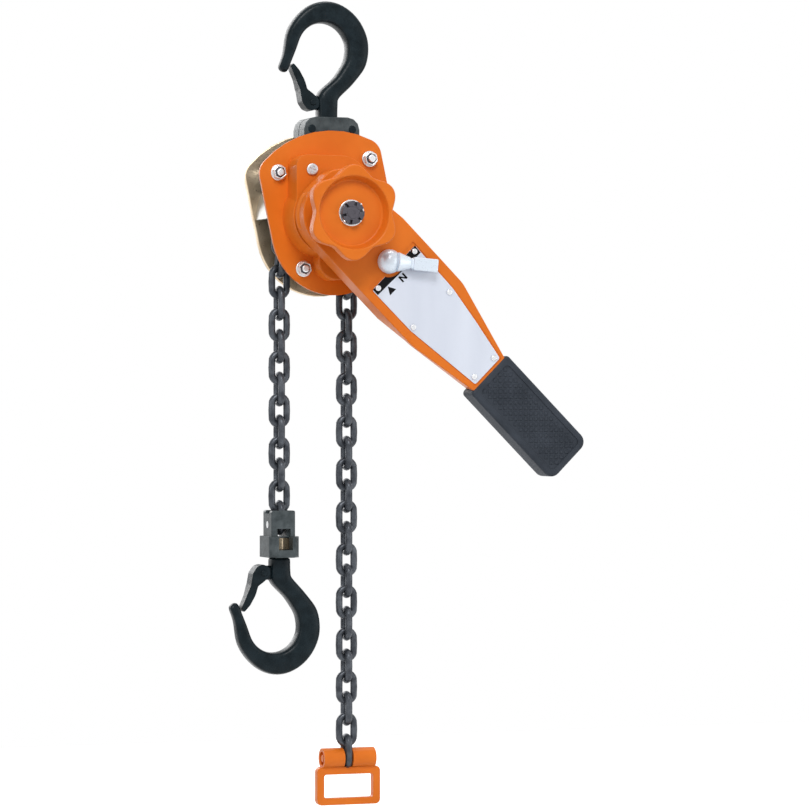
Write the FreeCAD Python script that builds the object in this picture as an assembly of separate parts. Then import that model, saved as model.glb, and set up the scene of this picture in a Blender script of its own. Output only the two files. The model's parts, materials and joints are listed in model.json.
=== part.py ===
import FreeCAD, Part
import math
import os

# Lever chain hoist, millimetres, hanging from its top hook.
# X runs to the right, Y from the hand wheel back to the gear cover, Z up.
# Every piece is modelled about the drive axis (X = 0, Z = 0), which runs along Y.
# place() then moves it so that the saddle of the top hook is the origin.
# "Front" values are distances in front of the chain's middle plane, toward -Y.

# Load chain
pitch = 17.1
wire = 5.6
link_width = 18.2
link_play = 0.3
wheel_pockets = 5
load_links = 14
slack_links = 25
strand_x = 28.4
wire_sides = 6
bend_square = 0.42

# How the hoist hangs at rest, in degrees, counter-clockwise from the front
body_tilt = 12.0
lever_turn = -45.0

# Sides of the bars: small pins, common rounds, large rounds
few = 8
plate_chords = 8
some = 12
many = 20

# Body plates, in the body's own upright frame
plate_gap = 31.0
brake_plate_thick = 4.0
gear_plate_thick = 5.0
plate_centre_x = 8.0
plate_half_width = 52.0
plate_round_z = -12.0
crown_top = 67.4
crown_radius = 78.0
plate_corner = 14.0
suspension_pin_at = (24.2, 54.2)
suspension_pin_radius = 6.0
stay_places = ((-28.4, 41.6), (49.0, 37.9), (-23.8, -37.1), (42.0, -38.0))
stay_radius = 3.0
nut_flange_radius = 6.4
nut_flats = 10.0
spacer_radius = 5.2

# Load wheel and its bushes
wheel_radius = 30.0
wheel_half_width = 12.5
groove_half_width = 3.4
groove_clear = 0.7
pocket_clear = 0.6
gear_journal_radius = 15.0
brake_journal_radius = 13.0
bush_wall = 3.0
running_clear = 0.06

# Gear train: two equal centre distances, so the load gear runs on the drive axis
gear_module = 1.5
pressure_angle = 25.0
addendum = 0.8
dedendum = 1.0
backlash = 0.36
pinion_teeth = 9
large_teeth = 27
small_teeth = 12
load_teeth = 24
idler_angles = (75.0, -65.0)
idler_axle_radius = 4.0
shaft_radius = 6.0
shaft_end_radius = 4.5
load_gear_seat = 11.0
load_gear_from = 22.0
load_gear_thick = 7.0
large_gear_from = 33.5
large_gear_thick = 6.0
gear_cover_inset = 12.0
gear_cover_room = 8.0
bolt_room = 8.0

# Brake side, in front of the middle plane
cover_sheet = 2.5
drum_front = 45.0
lobe_front = 38.0
brake_hub_front = 27.0
friction_thick = 2.0
ratchet_thick = 6.0
lever_back = 47.5
lever_split = 58.0
lever_front = 68.5
lever_wall = 1.7
wheel_back = 80.0
wheel_front = 94.5
dish_floor = 90.0
castle_front = 100.0

# Brake cover drum
drum_radius = 33.0
drum_draft = 2.0
corner_left = -28.5
corner_right = 32.0
corner_top = 48.0
lobe_at = (7.0, -35.5)
lobe_radius = 15.0
pawl_room_at = (-2.6, -26.6)
pawl_room = 4.0

# Brake
friction_radius = 23.0
hub_sleeve_radius = 11.8
ratchet_teeth = 8
ratchet_tip = 24.8
ratchet_root = 21.8
ratchet_phase = 61.5
pawl_places = ((39.7, 113.5), (37.2, 290.0))
pawl_reach = 22.0
pawl_hub = 5.0
pawl_pin_radius = 2.8
cover_screw_radius = 4.7
cover_screw_height = 1.9

# Lever, along its own axis from the drive axis
lever_head = 30.5
lever_left = 30.5
lever_right = 35.5
shoulder_at = 116.0
grip_from = 176.0
grip_to = 275.0
grip_half_width = 22.0
grip_half_depth = 11.5
waist_half_width = 19.0
tongue_half_width = 17.0
tongue_end = 240.0
selector_at = (54.0, 2.5)
selector_knob = 9.75
selector_length = 38.5
selector_angle = 40.0
selector_shaft = 4.0
change_neck = 15.0
change_gear_tip = 21.5
change_gear_teeth = 12
change_tooth_height = 4.0
horn_angle = 36.0
horn_gap = 1.2
plate_thick = 0.6
tray_depth = 0.9

# Hand wheel
lobes = 7
lobe_tip = 39.5
lobe_valley = 32.0
lobe_turn = 20.0
lobe_points = 6
dish_radius = 27.5
nut_radius = 9.3
nut_slot = 2.6
nut_turn = 15.0

# Hooks, about the centre of the bowl, standing upright
bowl_radius = 20.5
shank_radius = 8.1
top_bowl = (7.2, 136.0)
top_shank_x = 4.2
bottom_shank_x = 5.6
latch_hub = (-9.2, 43.2)
latch_half_depth = 6.6
latch_sheet = 1.9
latch_pin_radius = 2.2
ear_half_depth = 4.0
hook_head_radius = 11.0
hook_head_from = 68.7
hook_head_to = 73.5
stub_radius = 6.5

# Top yoke
yoke_top = 80.7
yoke_half_depth = 14.5
yoke_half_width = 23.3
yoke_shoulder = 64.0
yoke_bolt_radius = 2.5
yoke_bolt_x = 17.0
yoke_bolt_z = 71.0

# Bottom block and tail ring
cage_half_width = 10.0
cage_half_depth = 11.8
cage_slot_half = 10.4
cage_height = 20.5
flange_half_width = 12.5
flange_half_depth = 17.5
flange_height = 16.9
hook_nut_flats = 16.0
hook_nut_height = 9.3
chain_pin_radius = 2.9
pin_clear = 0.3
ring_tube_radius = 8.2
ring_tube_half = 22.0
ring_frame_half = 26.7
ring_frame_height = 30.6
ring_bar = 6.0
ring_half_depth = 3.2

drive_axis = FreeCAD.Vector(0, 0, 0)
toward_viewer = FreeCAD.Vector(0, -1, 0)
saddle = FreeCAD.Vector(top_bowl[0], 0, top_bowl[1] + bowl_radius)
inner_face = plate_gap / 2
brake_plate_front = -inner_face - brake_plate_thick
cover_front = brake_plate_front - cover_sheet
gear_plate_back = inner_face + gear_plate_thick
gear_cover_back = large_gear_from + large_gear_thick + gear_cover_room


def polar(radius, degrees):
    """The X and Z of a point at a radius and an angle seen from the front."""
    a = math.radians(degrees)
    return radius * math.cos(a), radius * math.sin(a)


def point(x, z, y=0.0):
    return FreeCAD.Vector(x, y, z)


def turned(shape, degrees, x=0.0, z=0.0):
    """A copy turned counter-clockwise, as seen from the front, about an axis along Y."""
    copy = shape.copy()
    copy.rotate(point(x, z), toward_viewer, degrees)
    return copy


def moved(shape, x=0.0, y=0.0, z=0.0):
    copy = shape.copy()
    copy.translate(FreeCAD.Vector(x, y, z))
    return copy


def loop(corners):
    """A closed run of straight edges through points in space."""
    return Part.makePolygon(corners + corners[:1])


def polygon(places):
    return loop([point(x, z) for x, z in places])


def slab(outline, y_from, y_to):
    """A flat outline thickened from one Y to another."""
    face = Part.Face(outline)
    face.translate(FreeCAD.Vector(0, y_from, 0))
    return face.extrude(FreeCAD.Vector(0, y_to - y_from, 0))


def around(radius, sides, x=0.0, z=0.0):
    """Corners on a circle, with a flat on the right."""
    corners = [polar(radius, 360.0 * (i + 0.5) / sides) for i in range(sides)]
    return [(x + u, z + v) for u, v in corners]


def barrel(radius, y_from, y_to, x=0.0, z=0.0, sides=some):
    """A many-sided bar along Y, its corners on the radius."""
    return slab(polygon(around(radius, sides, x, z)), y_from, y_to)


def bore(radius, y_from, y_to, x=0.0, z=0.0, sides=some):
    """What a hole along Y takes away: its flats are on the radius, so a barrel turns in it."""
    return barrel(radius / math.cos(math.pi / sides), y_from, y_to, x, z, sides)


def tube(radius, hole, y_from, y_to, x=0.0, z=0.0, sides=some):
    outer = barrel(radius, y_from, y_to, x, z, sides)
    return outer.cut(bore(hole, y_from - 1, y_to + 1, x, z, sides))


def round_bar(radius, y_from, y_to, x=0.0, z=0.0):
    """A truly round bar along Y, for the larger rounds that show."""
    return Part.makeCylinder(radius, y_to - y_from, FreeCAD.Vector(x, y_from, z), FreeCAD.Vector(0, 1, 0))


def post(radius, z_from, z_to, x=0.0, y=0.0, sides=some):
    """A many-sided bar along Z."""
    bar = barrel(radius, -z_to, -z_from, sides=sides)
    bar.rotate(drive_axis, FreeCAD.Vector(1, 0, 0), -90)
    return moved(bar, x=x, y=y)


def cross_bar(radius, x_from, x_to, z, sides=some):
    """A many-sided bar along X."""
    bar = barrel(radius, x_from, x_to, sides=sides)
    bar.rotate(drive_axis, FreeCAD.Vector(0, 0, 1), -90)
    return moved(bar, z=z)


def block(x_from, x_to, y_from, y_to, z_from, z_to):
    corner = FreeCAD.Vector(x_from, y_from, z_from)
    return Part.makeBox(x_to - x_from, y_to - y_from, z_to - z_from, corner)


def rounded(corners, chords=0):
    """A closed outline of straight sides. Each corner is (x, z, radius), an arc or a few chords."""
    edges = []
    starts = []
    ends = []
    count = len(corners)
    for i in range(count):
        x, z, radius = corners[i]
        here = point(x, z)
        back = (point(*corners[i - 1][:2]) - here).normalize()
        on = (point(*corners[(i + 1) % count][:2]) - here).normalize()
        if radius <= 0:
            starts.append(here)
            ends.append(here)
            continue
        half = back.getAngle(on) / 2
        reach = radius / math.tan(half)
        centre = here + (back + on).normalize() * (radius / math.sin(half))
        arc = Part.Arc(here + back * reach, centre + (here - centre).normalize() * radius, here + on * reach)
        if chords:
            edges += loop(arc.discretize(chords + 1)).Edges[:-1]
        else:
            edges.append(arc.toShape())
        starts.append(here + back * reach)
        ends.append(here + on * reach)
    for i in range(count):
        if (ends[i - 1] - starts[i]).Length > 1e-6:
            edges.append(Part.LineSegment(ends[i - 1], starts[i]).toShape())
    return Part.Wire(Part.__sortEdges__(edges))


def skin(rings, closed=False):
    """A solid through rings of corners. An open run of rings gets a flat face at each end."""
    faces = []
    for i in range(0 if closed else 1, len(rings)):
        here = rings[i - 1]
        there = rings[i]
        for side in range(len(here)):
            after = (side + 1) % len(here)
            corners = [here[side], here[after], there[after], there[side]]
            normal = (corners[1] - corners[0]).cross(corners[3] - corners[0]).normalize()
            if abs(normal.dot(corners[2] - corners[0])) < 1e-5:
                faces.append(Part.Face(loop(corners)))
            else:
                faces.append(Part.Face(loop(corners[:3])))
                faces.append(Part.Face(loop([corners[0], corners[2], corners[3]])))
    if not closed:
        faces += [Part.Face(loop(rings[0])), Part.Face(loop(rings[-1]))]
    solid = Part.Solid(Part.Shell(faces))
    if solid.Volume < 0:
        solid.reverse()
    return solid


def frustum(radius_from, radius_to, y_from, y_to, x=0.0, z=0.0, sides=some):
    """A many-sided bar along Y that narrows or widens."""
    rings = []
    for radius, y in ((radius_from, y_from), (radius_to, y_to)):
        rings.append([point(u, v, y) for u, v in around(radius, sides, x, z)])
    return skin(rings)


def hexagon(across_flats, y_from, y_to, x, z):
    return barrel(across_flats / math.sqrt(3), y_from, y_to, x, z, 6)


def together(shapes):
    return Part.makeCompound(list(shapes))


def fused(first, *others):
    return first.fuse(list(others)).removeSplitter()


# Chain: a link's wire path, and where links lie when one hangs in the next

link_inner = pitch / 2 + link_play / 2
crown = link_inner + wire / 2
crown_next = pitch - crown
half_turn_radius = (link_width - wire) / 2
arm_half = crown - half_turn_radius
pocket_half_angle = math.pi / wheel_pockets
pivot_radius = math.sqrt(crown ** 2 + crown_next ** 2 + 2 * crown * crown_next * math.cos(pocket_half_angle))
pivot_radius /= math.sin(pocket_half_angle)
flat_radius = math.sqrt(pivot_radius ** 2 - crown ** 2)
upright_radius = math.sqrt(pivot_radius ** 2 - crown_next ** 2)
groove_floor = upright_radius - link_width / 2 - groove_clear


def link_ring(x, z, out_x, out_z):
    """The wire's section at one bend point, where (out_x, out_z) points away from the link's middle."""
    ring = []
    for side in range(wire_sides):
        turn = 2 * math.pi * side / wire_sides
        out = wire / 2 * math.cos(turn)
        across = wire / 2 * math.sin(turn)
        ring.append(point(x + out * out_x, z + out * out_z, across))
    return ring


def make_link():
    """One link with its arms along Z and its wire's path in the XZ plane."""
    side_x = half_turn_radius
    crown_z = arm_half + half_turn_radius
    bends = []
    for end in (1, -1):
        bends += [(end * side_x, end * arm_half, end * 1.0, 0.0),
                  (end * side_x * bend_square, end * crown_z, 0.0, end * 1.0),
                  (-end * side_x * bend_square, end * crown_z, 0.0, end * 1.0),
                  (-end * side_x, end * arm_half, -end * 1.0, 0.0)]
    return skin([link_ring(*bend) for bend in bends], closed=True)


link_in_view = make_link()
link_edge_on = link_in_view.copy()
link_edge_on.rotate(drive_axis, FreeCAD.Vector(0, 0, 1), 90)


def link_at(x, z, edge_on, lean=0.0):
    """A link centred at (x, z). lean turns it counter-clockwise from upright."""
    source = link_edge_on if edge_on else link_in_view
    return moved(turned(source, lean), x=x, z=z)


def strand(start, first_edge_on, count, lean_count):
    """Links that hang from the pivot at start, the first few leaning out to the strand's line."""
    halves = [crown if first_edge_on == (i % 2 == 0) else crown_next for i in range(count)]
    side = 1 if start[0] > 0 else -1
    lean = math.asin((side * strand_x - start[0]) / (2 * sum(halves[:lean_count])))
    links = []
    pivots = [start]
    x, z = start
    for i in range(count):
        angle = lean if i < lean_count else 0.0
        step_x = halves[i] * math.sin(angle)
        step_z = halves[i] * math.cos(angle)
        links.append(link_at(x + step_x, z - step_z, halves[i] == crown, math.degrees(angle)))
        x += 2 * step_x
        z -= 2 * step_z
        pivots.append((x, z))
    return links, pivots


def wheel_chain():
    """The links that lie in the load wheel, from the loaded side over the top to the slack side."""
    links = []
    for i in range(wheel_pockets):
        angle = 180.0 - i * 180.0 / wheel_pockets
        lies_flat = i % 2 == 0
        x, z = polar(flat_radius if lies_flat else upright_radius, angle)
        links.append(link_at(x, z, lies_flat, angle - 180.0))
    return links


load_start = (-flat_radius, -crown)
load_strand, load_pivots = strand(load_start, False, load_links, 2)
slack_start = (upright_radius, crown_next)
slack_strand, slack_pivots = strand((upright_radius, -crown_next), True, slack_links, 1)
slack_lead = link_at(upright_radius, 0.0, False)


# Load wheel and gears

def load_wheel():
    """Five pockets for the links that lie flat, and a groove between for those that stand."""
    body = barrel(wheel_radius, -wheel_half_width, wheel_half_width, sides=many)
    groove = barrel(wheel_radius + 1, -groove_half_width, groove_half_width, sides=many)
    body = body.cut(groove.cut(barrel(groove_floor, -groove_half_width, groove_half_width, sides=many)))
    half_width = link_width / 2 + pocket_clear
    half_length = crown + wire / 2 + pocket_clear
    floor = flat_radius - wire / 2 - pocket_clear / 3
    cut_corner = half_width * (1 - math.tan(math.pi / 8))
    near = (half_width, half_length - cut_corner)
    far = (half_width - cut_corner, half_length)
    corners = []
    for y_side, z_side in ((1, 1), (-1, 1), (-1, -1), (1, -1)):
        for y, z in (near, far) if y_side * z_side > 0 else (far, near):
            corners.append(point(floor, z_side * z, y_side * y))
    pocket = Part.Face(loop(corners)).extrude(FreeCAD.Vector(wheel_radius, 0, 0))
    for i in range(wheel_pockets):
        body = body.cut(turned(pocket, 180.0 + 360.0 * i / wheel_pockets))
    front_journal = barrel(brake_journal_radius, brake_plate_front - 0.5, -wheel_half_width, sides=many)
    back_journal = barrel(gear_journal_radius, wheel_half_width, gear_plate_back + 0.5, sides=many)
    seat = barrel(load_gear_seat, gear_plate_back, load_gear_from + load_gear_thick)
    body = fused(body, front_journal, back_journal, seat)
    return body.cut(bore(shaft_radius + 0.5, brake_plate_front - 2, load_gear_from + load_gear_thick + 1))


def gear(teeth, y_from, y_to, phase, hole):
    """A spur gear about the drive axis with a tooth centred at the angle phase."""
    pitch_radius = gear_module * teeth / 2
    base = pitch_radius * math.cos(math.radians(pressure_angle))
    tip = pitch_radius + addendum * gear_module
    root = pitch_radius - dedendum * gear_module
    involute_at_pitch = math.tan(math.radians(pressure_angle)) - math.radians(pressure_angle)
    half_tooth = math.pi / (2 * teeth) - backlash / (2 * pitch_radius)

    def half_angle(radius):
        if radius <= base:
            return half_tooth + involute_at_pitch
        away = math.acos(base / radius)
        return half_tooth + involute_at_pitch - (math.tan(away) - away)

    corners = []
    for i in range(teeth):
        centre = phase + 360.0 * i / teeth
        for radius, side in ((root, -1), (tip, -1), (tip, 1), (root, 1)):
            corners.append(polar(radius, centre + side * math.degrees(half_angle(radius))))
    body = slab(polygon(corners), y_from, y_to)
    if hole > 0:
        body = body.cut(bore(hole, y_from - 1, y_to + 1))
    return body


def meshed_phase(teeth, phase, other_teeth, direction):
    """The phase of a gear that lies in a direction from a first gear and meshes with it."""
    tooth = 360.0 / teeth
    ahead = (phase - direction + tooth / 2) % tooth - tooth / 2
    return direction + 180.0 - ahead * teeth / other_teeth + 180.0 / other_teeth


centre_distance = gear_module * (pinion_teeth + large_teeth) / 2
load_gear_phase = 0.0
pinion_phase = 0.0


def load_gear():
    return gear(load_teeth, load_gear_from, load_gear_from + load_gear_thick, load_gear_phase, load_gear_seat)


def idler(direction):
    """A stepped gear on its own axle, at the centre distance in a direction from the drive axis."""
    x, z = polar(centre_distance, direction)
    large_phase = meshed_phase(pinion_teeth, pinion_phase, large_teeth, direction)
    small_phase = meshed_phase(load_teeth, load_gear_phase, small_teeth, direction)
    large_to = large_gear_from + large_gear_thick
    large = gear(large_teeth, large_gear_from, large_to, large_phase, 0)
    small = gear(small_teeth, load_gear_from - 0.3, large_gear_from, small_phase, 0)
    axle = barrel(idler_axle_radius, inner_face + 1.5, gear_cover_back - 3.2)
    return moved(fused(large, small, axle), x=x, z=z)


def drive_shaft():
    large_to = large_gear_from + large_gear_thick
    pinion = gear(pinion_teeth, large_gear_from - 0.5, large_to + 1, pinion_phase, 0)
    front_part = barrel(shaft_radius, -castle_front + 1.5, large_gear_from - 0.5)
    back_end = barrel(shaft_end_radius, large_to + 1, gear_cover_back - 3.2)
    return fused(front_part, pinion, back_end)


# Body plates, covers and stays

def shield(inset, round_drop=0.0, chords=plate_chords):
    """The body's outline, drawn in by inset: a half circle below, a crowned top, two rounded corners."""
    half = plate_half_width - inset
    corner = max(plate_corner - inset, 7.0)
    crown_r = crown_radius - inset
    crown_z = crown_top - crown_radius
    round_z = plate_round_z - round_drop
    corner_x = half - corner
    corner_z = crown_z + math.sqrt((crown_r - corner) ** 2 - corner_x ** 2)
    lean = math.atan2(corner_z - crown_z, corner_x)
    touch_x = crown_r * math.cos(lean)
    touch_z = crown_z + crown_r * math.sin(lean)
    mid_x = corner_x + corner * math.cos(lean / 2)
    mid_z = corner_z + corner * math.sin(lean / 2)
    cx = plate_centre_x
    low_left = point(cx - half, round_z)
    low_right = point(cx + half, round_z)
    side_left = point(cx - half, corner_z)
    side_right = point(cx + half, corner_z)
    touch_left = point(cx - touch_x, touch_z)
    touch_right = point(cx + touch_x, touch_z)
    bottom = Part.Arc(low_left, point(cx, round_z - half), low_right)
    right_corner = Part.Arc(side_right, point(cx + mid_x, mid_z), touch_right)
    crown = Part.Arc(touch_right, point(cx, crown_z + crown_r), touch_left)
    left_corner = Part.Arc(touch_left, point(cx - mid_x, mid_z), side_left)
    corners = bottom.discretize(3 * chords + 1) + right_corner.discretize(chords)
    corners += crown.discretize(chords + 1)[1:-1] + left_corner.discretize(chords)
    return loop(corners)


def stay_holes(y_from, y_to):
    return [barrel(stay_radius, y_from, y_to, x, z, few) for x, z in stay_places]


def side_plate(outline, y_from, y_to, bush_radius, others):
    """A body plate with holes for the stays, the suspension pin, a wheel bush and other pins."""
    span = (y_from - 1, y_to + 1)
    holes = stay_holes(*span)
    holes.append(barrel(suspension_pin_radius, *span, *suspension_pin_at))
    holes.append(barrel(bush_radius, *span, sides=many))
    for radius, place_at in others:
        holes.append(barrel(radius, *span, *place_at, few))
    return slab(outline, y_from, y_to).cut(holes)


def brake_side_plate():
    pins = [(pawl_pin_radius, place_at) for place_at in pawl_pin_places()]
    return side_plate(shield(1.0), brake_plate_front, -inner_face, brake_journal_radius + bush_wall, pins)


def gear_side_plate():
    axles = [(idler_axle_radius + 0.4, polar(centre_distance, a)) for a in idler_angles]
    return side_plate(shield(0.0), inner_face, gear_plate_back, gear_journal_radius + bush_wall, axles)


def wheel_bushes():
    sides = (
        (brake_journal_radius, brake_plate_front, -inner_face),
        (gear_journal_radius, inner_face, gear_plate_back),
    )
    rings = []
    for journal, y_from, y_to in sides:
        rings.append(tube(journal + bush_wall, journal + running_clear, y_from, y_to, sides=many))
    return together(rings)


def drum(inset, front, back):
    """The brake cover's raised drum, as it hangs: a tapering round with one square corner at the upper left."""
    radius = drum_radius - inset
    if inset > 0:
        cone = frustum(radius - drum_draft, radius, -front, -back, sides=many)
    else:
        cone = Part.makeCone(radius - drum_draft, radius, front - back, point(0, 0, -front),
                             FreeCAD.Vector(0, 1, 0))
    corners = [(corner_left + inset, -5.0, 2.0), (corner_left + inset, corner_top - inset, 9.0),
               (corner_right - inset, corner_top - inset, 24.0), (corner_right - inset, -5.0, 2.0)]
    return fused(cone, slab(rounded(corners, 4 if inset > 0 else 0), -front, -back))


def brake_cover():
    """Pressed cover: a flat flange on the plate, the drum and a lobe for the lower pawl, one sheet thick."""
    back = -brake_plate_front
    flange = slab(shield(0.0), cover_front, brake_plate_front)
    lobe = round_bar(lobe_radius, -lobe_front, -back, *lobe_at)
    outer = fused(drum(0.0, drum_front, back), lobe)
    lobe_inside = barrel(lobe_radius - cover_sheet, -lobe_front + cover_sheet, -back + 1, *lobe_at)
    room = barrel(pawl_room, -lobe_front + cover_sheet, -back + 1, *pawl_room_at, few)
    inner = fused(drum(cover_sheet, drum_front - cover_sheet, back - 1), lobe_inside, room)
    body = fused(flange, turned(outer, -body_tilt)).cut(turned(inner, -body_tilt))
    face = (-drum_front - 1, -drum_front + cover_sheet + 1)
    holes = stay_holes(cover_front - 1, brake_plate_front + 1)
    holes.append(bore(change_neck + 1.5, *face, sides=many))
    holes.append(barrel(pawl_pin_radius, *face, *pawl_pin_places()[0], few))
    return body.cut(holes)


def gear_cover():
    """The back cover: a flange on the gear side plate and a deep pan over the gears."""
    flange = slab(shield(2.5), gear_plate_back, gear_plate_back + cover_sheet)
    pan = slab(shield(gear_cover_inset, 2.0), gear_plate_back, gear_cover_back)
    rim = [e for e in pan.Edges if e.BoundBox.YMin > gear_cover_back - 0.01]
    pan = pan.makeChamfer(4.0, rim)
    hollow = slab(shield(gear_cover_inset + cover_sheet, 2.0, 4), gear_plate_back - 1, gear_cover_back - cover_sheet)
    for x, z in stay_places:
        pan = pan.cut(barrel(bolt_room, gear_plate_back + cover_sheet, gear_cover_back + 1, x, z))
        hollow = hollow.cut(barrel(bolt_room + cover_sheet, 0, gear_cover_back, x, z))
    body = fused(flange, pan).cut(hollow)
    axles = [(idler_axle_radius, polar(centre_distance, a)) for a in idler_angles]
    axles.append((shaft_end_radius, (0, 0)))
    sockets = [barrel(r + 3, gear_cover_back - 6.5, gear_cover_back - 1, *at, few) for r, at in axles]
    body = fused(body, *sockets)
    holes = [bore(r + running_clear, gear_cover_back - 7, gear_cover_back - 3, *at) for r, at in axles]
    return body.cut(holes + stay_holes(gear_plate_back - 1, gear_plate_back + cover_sheet + 1))


def stay_bolts():
    """Four long bolts, their heads behind the gear cover's flange and their ends in the front nuts."""
    back = gear_plate_back + cover_sheet
    bolts = []
    for x, z in stay_places:
        head = hexagon(nut_flats, back, back + 4, x, z)
        bolts.append(fused(barrel(stay_radius, cover_front - 7.5, back, x, z, few), head))
    return together(bolts)


def stay_nuts():
    nuts = []
    for x, z in stay_places:
        collar = barrel(nut_flange_radius, cover_front - 1.6, cover_front, x, z)
        flats = hexagon(nut_flats, cover_front - 6, cover_front - 1.6, x, z)
        hole = barrel(stay_radius, cover_front - 7, cover_front + 1, x, z, few)
        nuts.append(fused(collar, flats).cut(hole))
    return together(nuts)


def stay_spacers():
    """Distance tubes between the plates. The lower left stay runs too close to the chain for one."""
    places = [stay_places[i] for i in (0, 1, 3)]
    spacers = []
    for x, z in places:
        hole = barrel(stay_radius, -inner_face - 1, inner_face + 1, x, z, few)
        spacers.append(barrel(spacer_radius, -inner_face, inner_face, x, z, few).cut(hole))
    return together(spacers)


def suspension_pin():
    return barrel(suspension_pin_radius, brake_plate_front, gear_plate_back, *suspension_pin_at)


def chain_guides():
    """Curved bars between the plates that keep the chain in the wheel on both sides."""
    inner = upright_radius + link_width / 2 + 1.2
    outer = inner + 5.6
    steps = 4
    bars = []
    for start in (140.0, 10.0):
        angles = [start + 30.0 * i / steps for i in range(steps + 1)]
        corners = [polar(inner, a) for a in angles] + [polar(outer, a) for a in reversed(angles)]
        bars.append(slab(polygon(corners), -inner_face, inner_face))
    return together(bars)


def chain_stripper():
    """A cross bar under the wheel with a finger in its groove, which lifts the chain out of the pockets."""
    x = -8.0
    corners = [(x - 4, -50), (x + 0.5, -50), (x + 4, -46), (x + 4, -41), (x - 4, -41)]
    bar = slab(polygon(corners), -inner_face, inner_face)
    side = groove_half_width - 0.8
    finger = block(x - 3, x + 3, -side, side, -42, -groove_floor)
    return fused(bar, finger.cut(bore(groove_floor + 0.8, -10, 10, sides=many)))


# Brake

ratchet_back = -brake_hub_front - friction_thick
ratchet_front = ratchet_back - ratchet_thick
change_face_back = ratchet_front - friction_thick


def pawl_pin_places():
    """The pawl pins in the body's upright frame. The values are given as the hoist hangs."""
    return [polar(radius, angle - body_tilt) for radius, angle in pawl_places]


def brake_hub():
    flange = barrel(friction_radius + 1, -brake_hub_front, -brake_hub_front + 4, sides=many)
    sleeve = barrel(hub_sleeve_radius, change_face_back + 0.5, -brake_hub_front)
    return fused(flange, sleeve).cut(barrel(shaft_radius, change_face_back, 0))


def friction_discs():
    discs = []
    for front in (ratchet_back, change_face_back):
        disc = barrel(friction_radius, front, front + friction_thick, sides=many)
        discs.append(disc.cut(bore(hub_sleeve_radius + 0.3, front - 1, front + friction_thick + 1)))
    return together(discs)


def ratchet_disc():
    corners = []
    steps = 2
    tooth = 360.0 / ratchet_teeth
    for i in range(ratchet_teeth):
        for step in range(steps + 1):
            rise = step / steps
            radius = ratchet_root + (ratchet_tip - ratchet_root) * rise
            corners.append(polar(radius, ratchet_phase + (i + rise) * tooth))
    body = slab(polygon(corners), ratchet_front, ratchet_back)
    return body.cut(bore(hub_sleeve_radius + 0.3, ratchet_front - 1, ratchet_back + 1))


def brake_pawls():
    """Two pawls, each with its hub on a pin and its toe in a notch of the ratchet disc."""
    pawls = []
    front = ratchet_front + 0.4
    back = ratchet_back - 0.4
    for radius, angle in pawl_places:
        spread = math.degrees(math.acos((pawl_reach + 3) / radius))
        hub_x, hub_z = polar(radius, spread)
        heel = hub_z - 2
        outline = [(pawl_reach + 0.3, 0.6), (pawl_reach + 3.0, 0.6), (pawl_reach + 3.0, 7.5), (pawl_reach + 3.5, 11.0),
                   (hub_x + 4.6, heel), (hub_x - 4.4, heel), (pawl_reach + 1.2, 12.0), (pawl_reach + 1.3, 5.0)]
        hub = barrel(pawl_hub, front, back, hub_x, hub_z)
        pawl = fused(slab(polygon(outline), front, back), hub)
        pawl = pawl.cut(bore(pawl_pin_radius + running_clear, front - 1, back + 1, hub_x, hub_z, few))
        pawls.append(turned(pawl, angle - spread))
    return pawls


def pawl_pins():
    fronts = (-drum_front, ratchet_front - 0.2)
    pins = []
    for place_at, front in zip(pawl_pin_places(), fronts):
        pins.append(barrel(pawl_pin_radius, front, -inner_face, *place_at, few))
    return together(pins)


def cover_screw():
    """The round head that holds the cover to the end of the upper pawl's pin."""
    x, z = pawl_pin_places()[0]
    return frustum(cover_screw_radius * 0.6, cover_screw_radius, -drum_front - cover_screw_height, -drum_front, x, z)


# Lever

def change_gear():
    """Driven by the lever's pawl: a toothed wheel, a neck through the cover and the brake's outer face."""
    face_front = change_face_back - 4.5
    teeth_front = -lever_front + 3.4
    face = barrel(friction_radius, face_front, change_face_back, sides=many)
    neck = barrel(change_neck, -lever_back - 4, face_front, sides=many)
    corners = []
    for i in range(change_gear_teeth):
        start = 360.0 * i / change_gear_teeth
        low = change_gear_tip - change_tooth_height
        for radius, angle in ((low, 0), (change_gear_tip, 7), (change_gear_tip, 15), (low, 22)):
            corners.append(polar(radius, start + angle))
    teeth = slab(polygon(corners), teeth_front, -lever_back - 3.4)
    hub = barrel(10.0, -wheel_back + 9, teeth_front)
    return fused(face, neck, teeth, hub).cut(barrel(shaft_radius, -castle_front, 0))


def lever_outline(inset, chords=0):
    """The lever seen from the front: a round head, a broad body, shoulders and a narrow end in the grip."""
    right = lever_right - inset
    left = lever_left - inset
    end = tongue_half_width - inset
    waist = waist_half_width - inset
    head = lever_head - inset
    tip = tongue_end - inset
    return rounded([(-head, -head, head * 0.98), (shoulder_at, -left, 30), (grip_from, -waist, 0),
                    (grip_from + 4 + inset, -end, 0), (tip, -end, 0), (tip, end, 0), (grip_from + 4 + inset, end, 0),
                    (grip_from, waist, 0), (shoulder_at - 6, right, 30), (38.0, right, 20), (0.0, head, 20),
                    (-head, head, head * 0.6)], chords)


def lever_shell(y_from, y_to, hollow_from, hollow_to):
    return slab(lever_outline(0.0), y_from, y_to).cut(slab(lever_outline(lever_wall, 3), hollow_from, hollow_to))


def plate_outline(inset):
    """The name plate's edge, following the lever from the selector to the grip."""
    places = [(58.5, -22.6), (105.6, -22.2), (173.5, -13.5), (173.5, 15.0), (139.0, 21.0), (107.0, 25.6),
              (58.5, 27.0)]
    middle = (112.0, 1.0)
    corners = []
    for x, z in places:
        inward_x = inset if x < middle[0] else -inset
        inward_z = inset if z < middle[1] else -inset
        corners.append((x + inward_x, z + inward_z))
    return polygon(corners)


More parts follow.
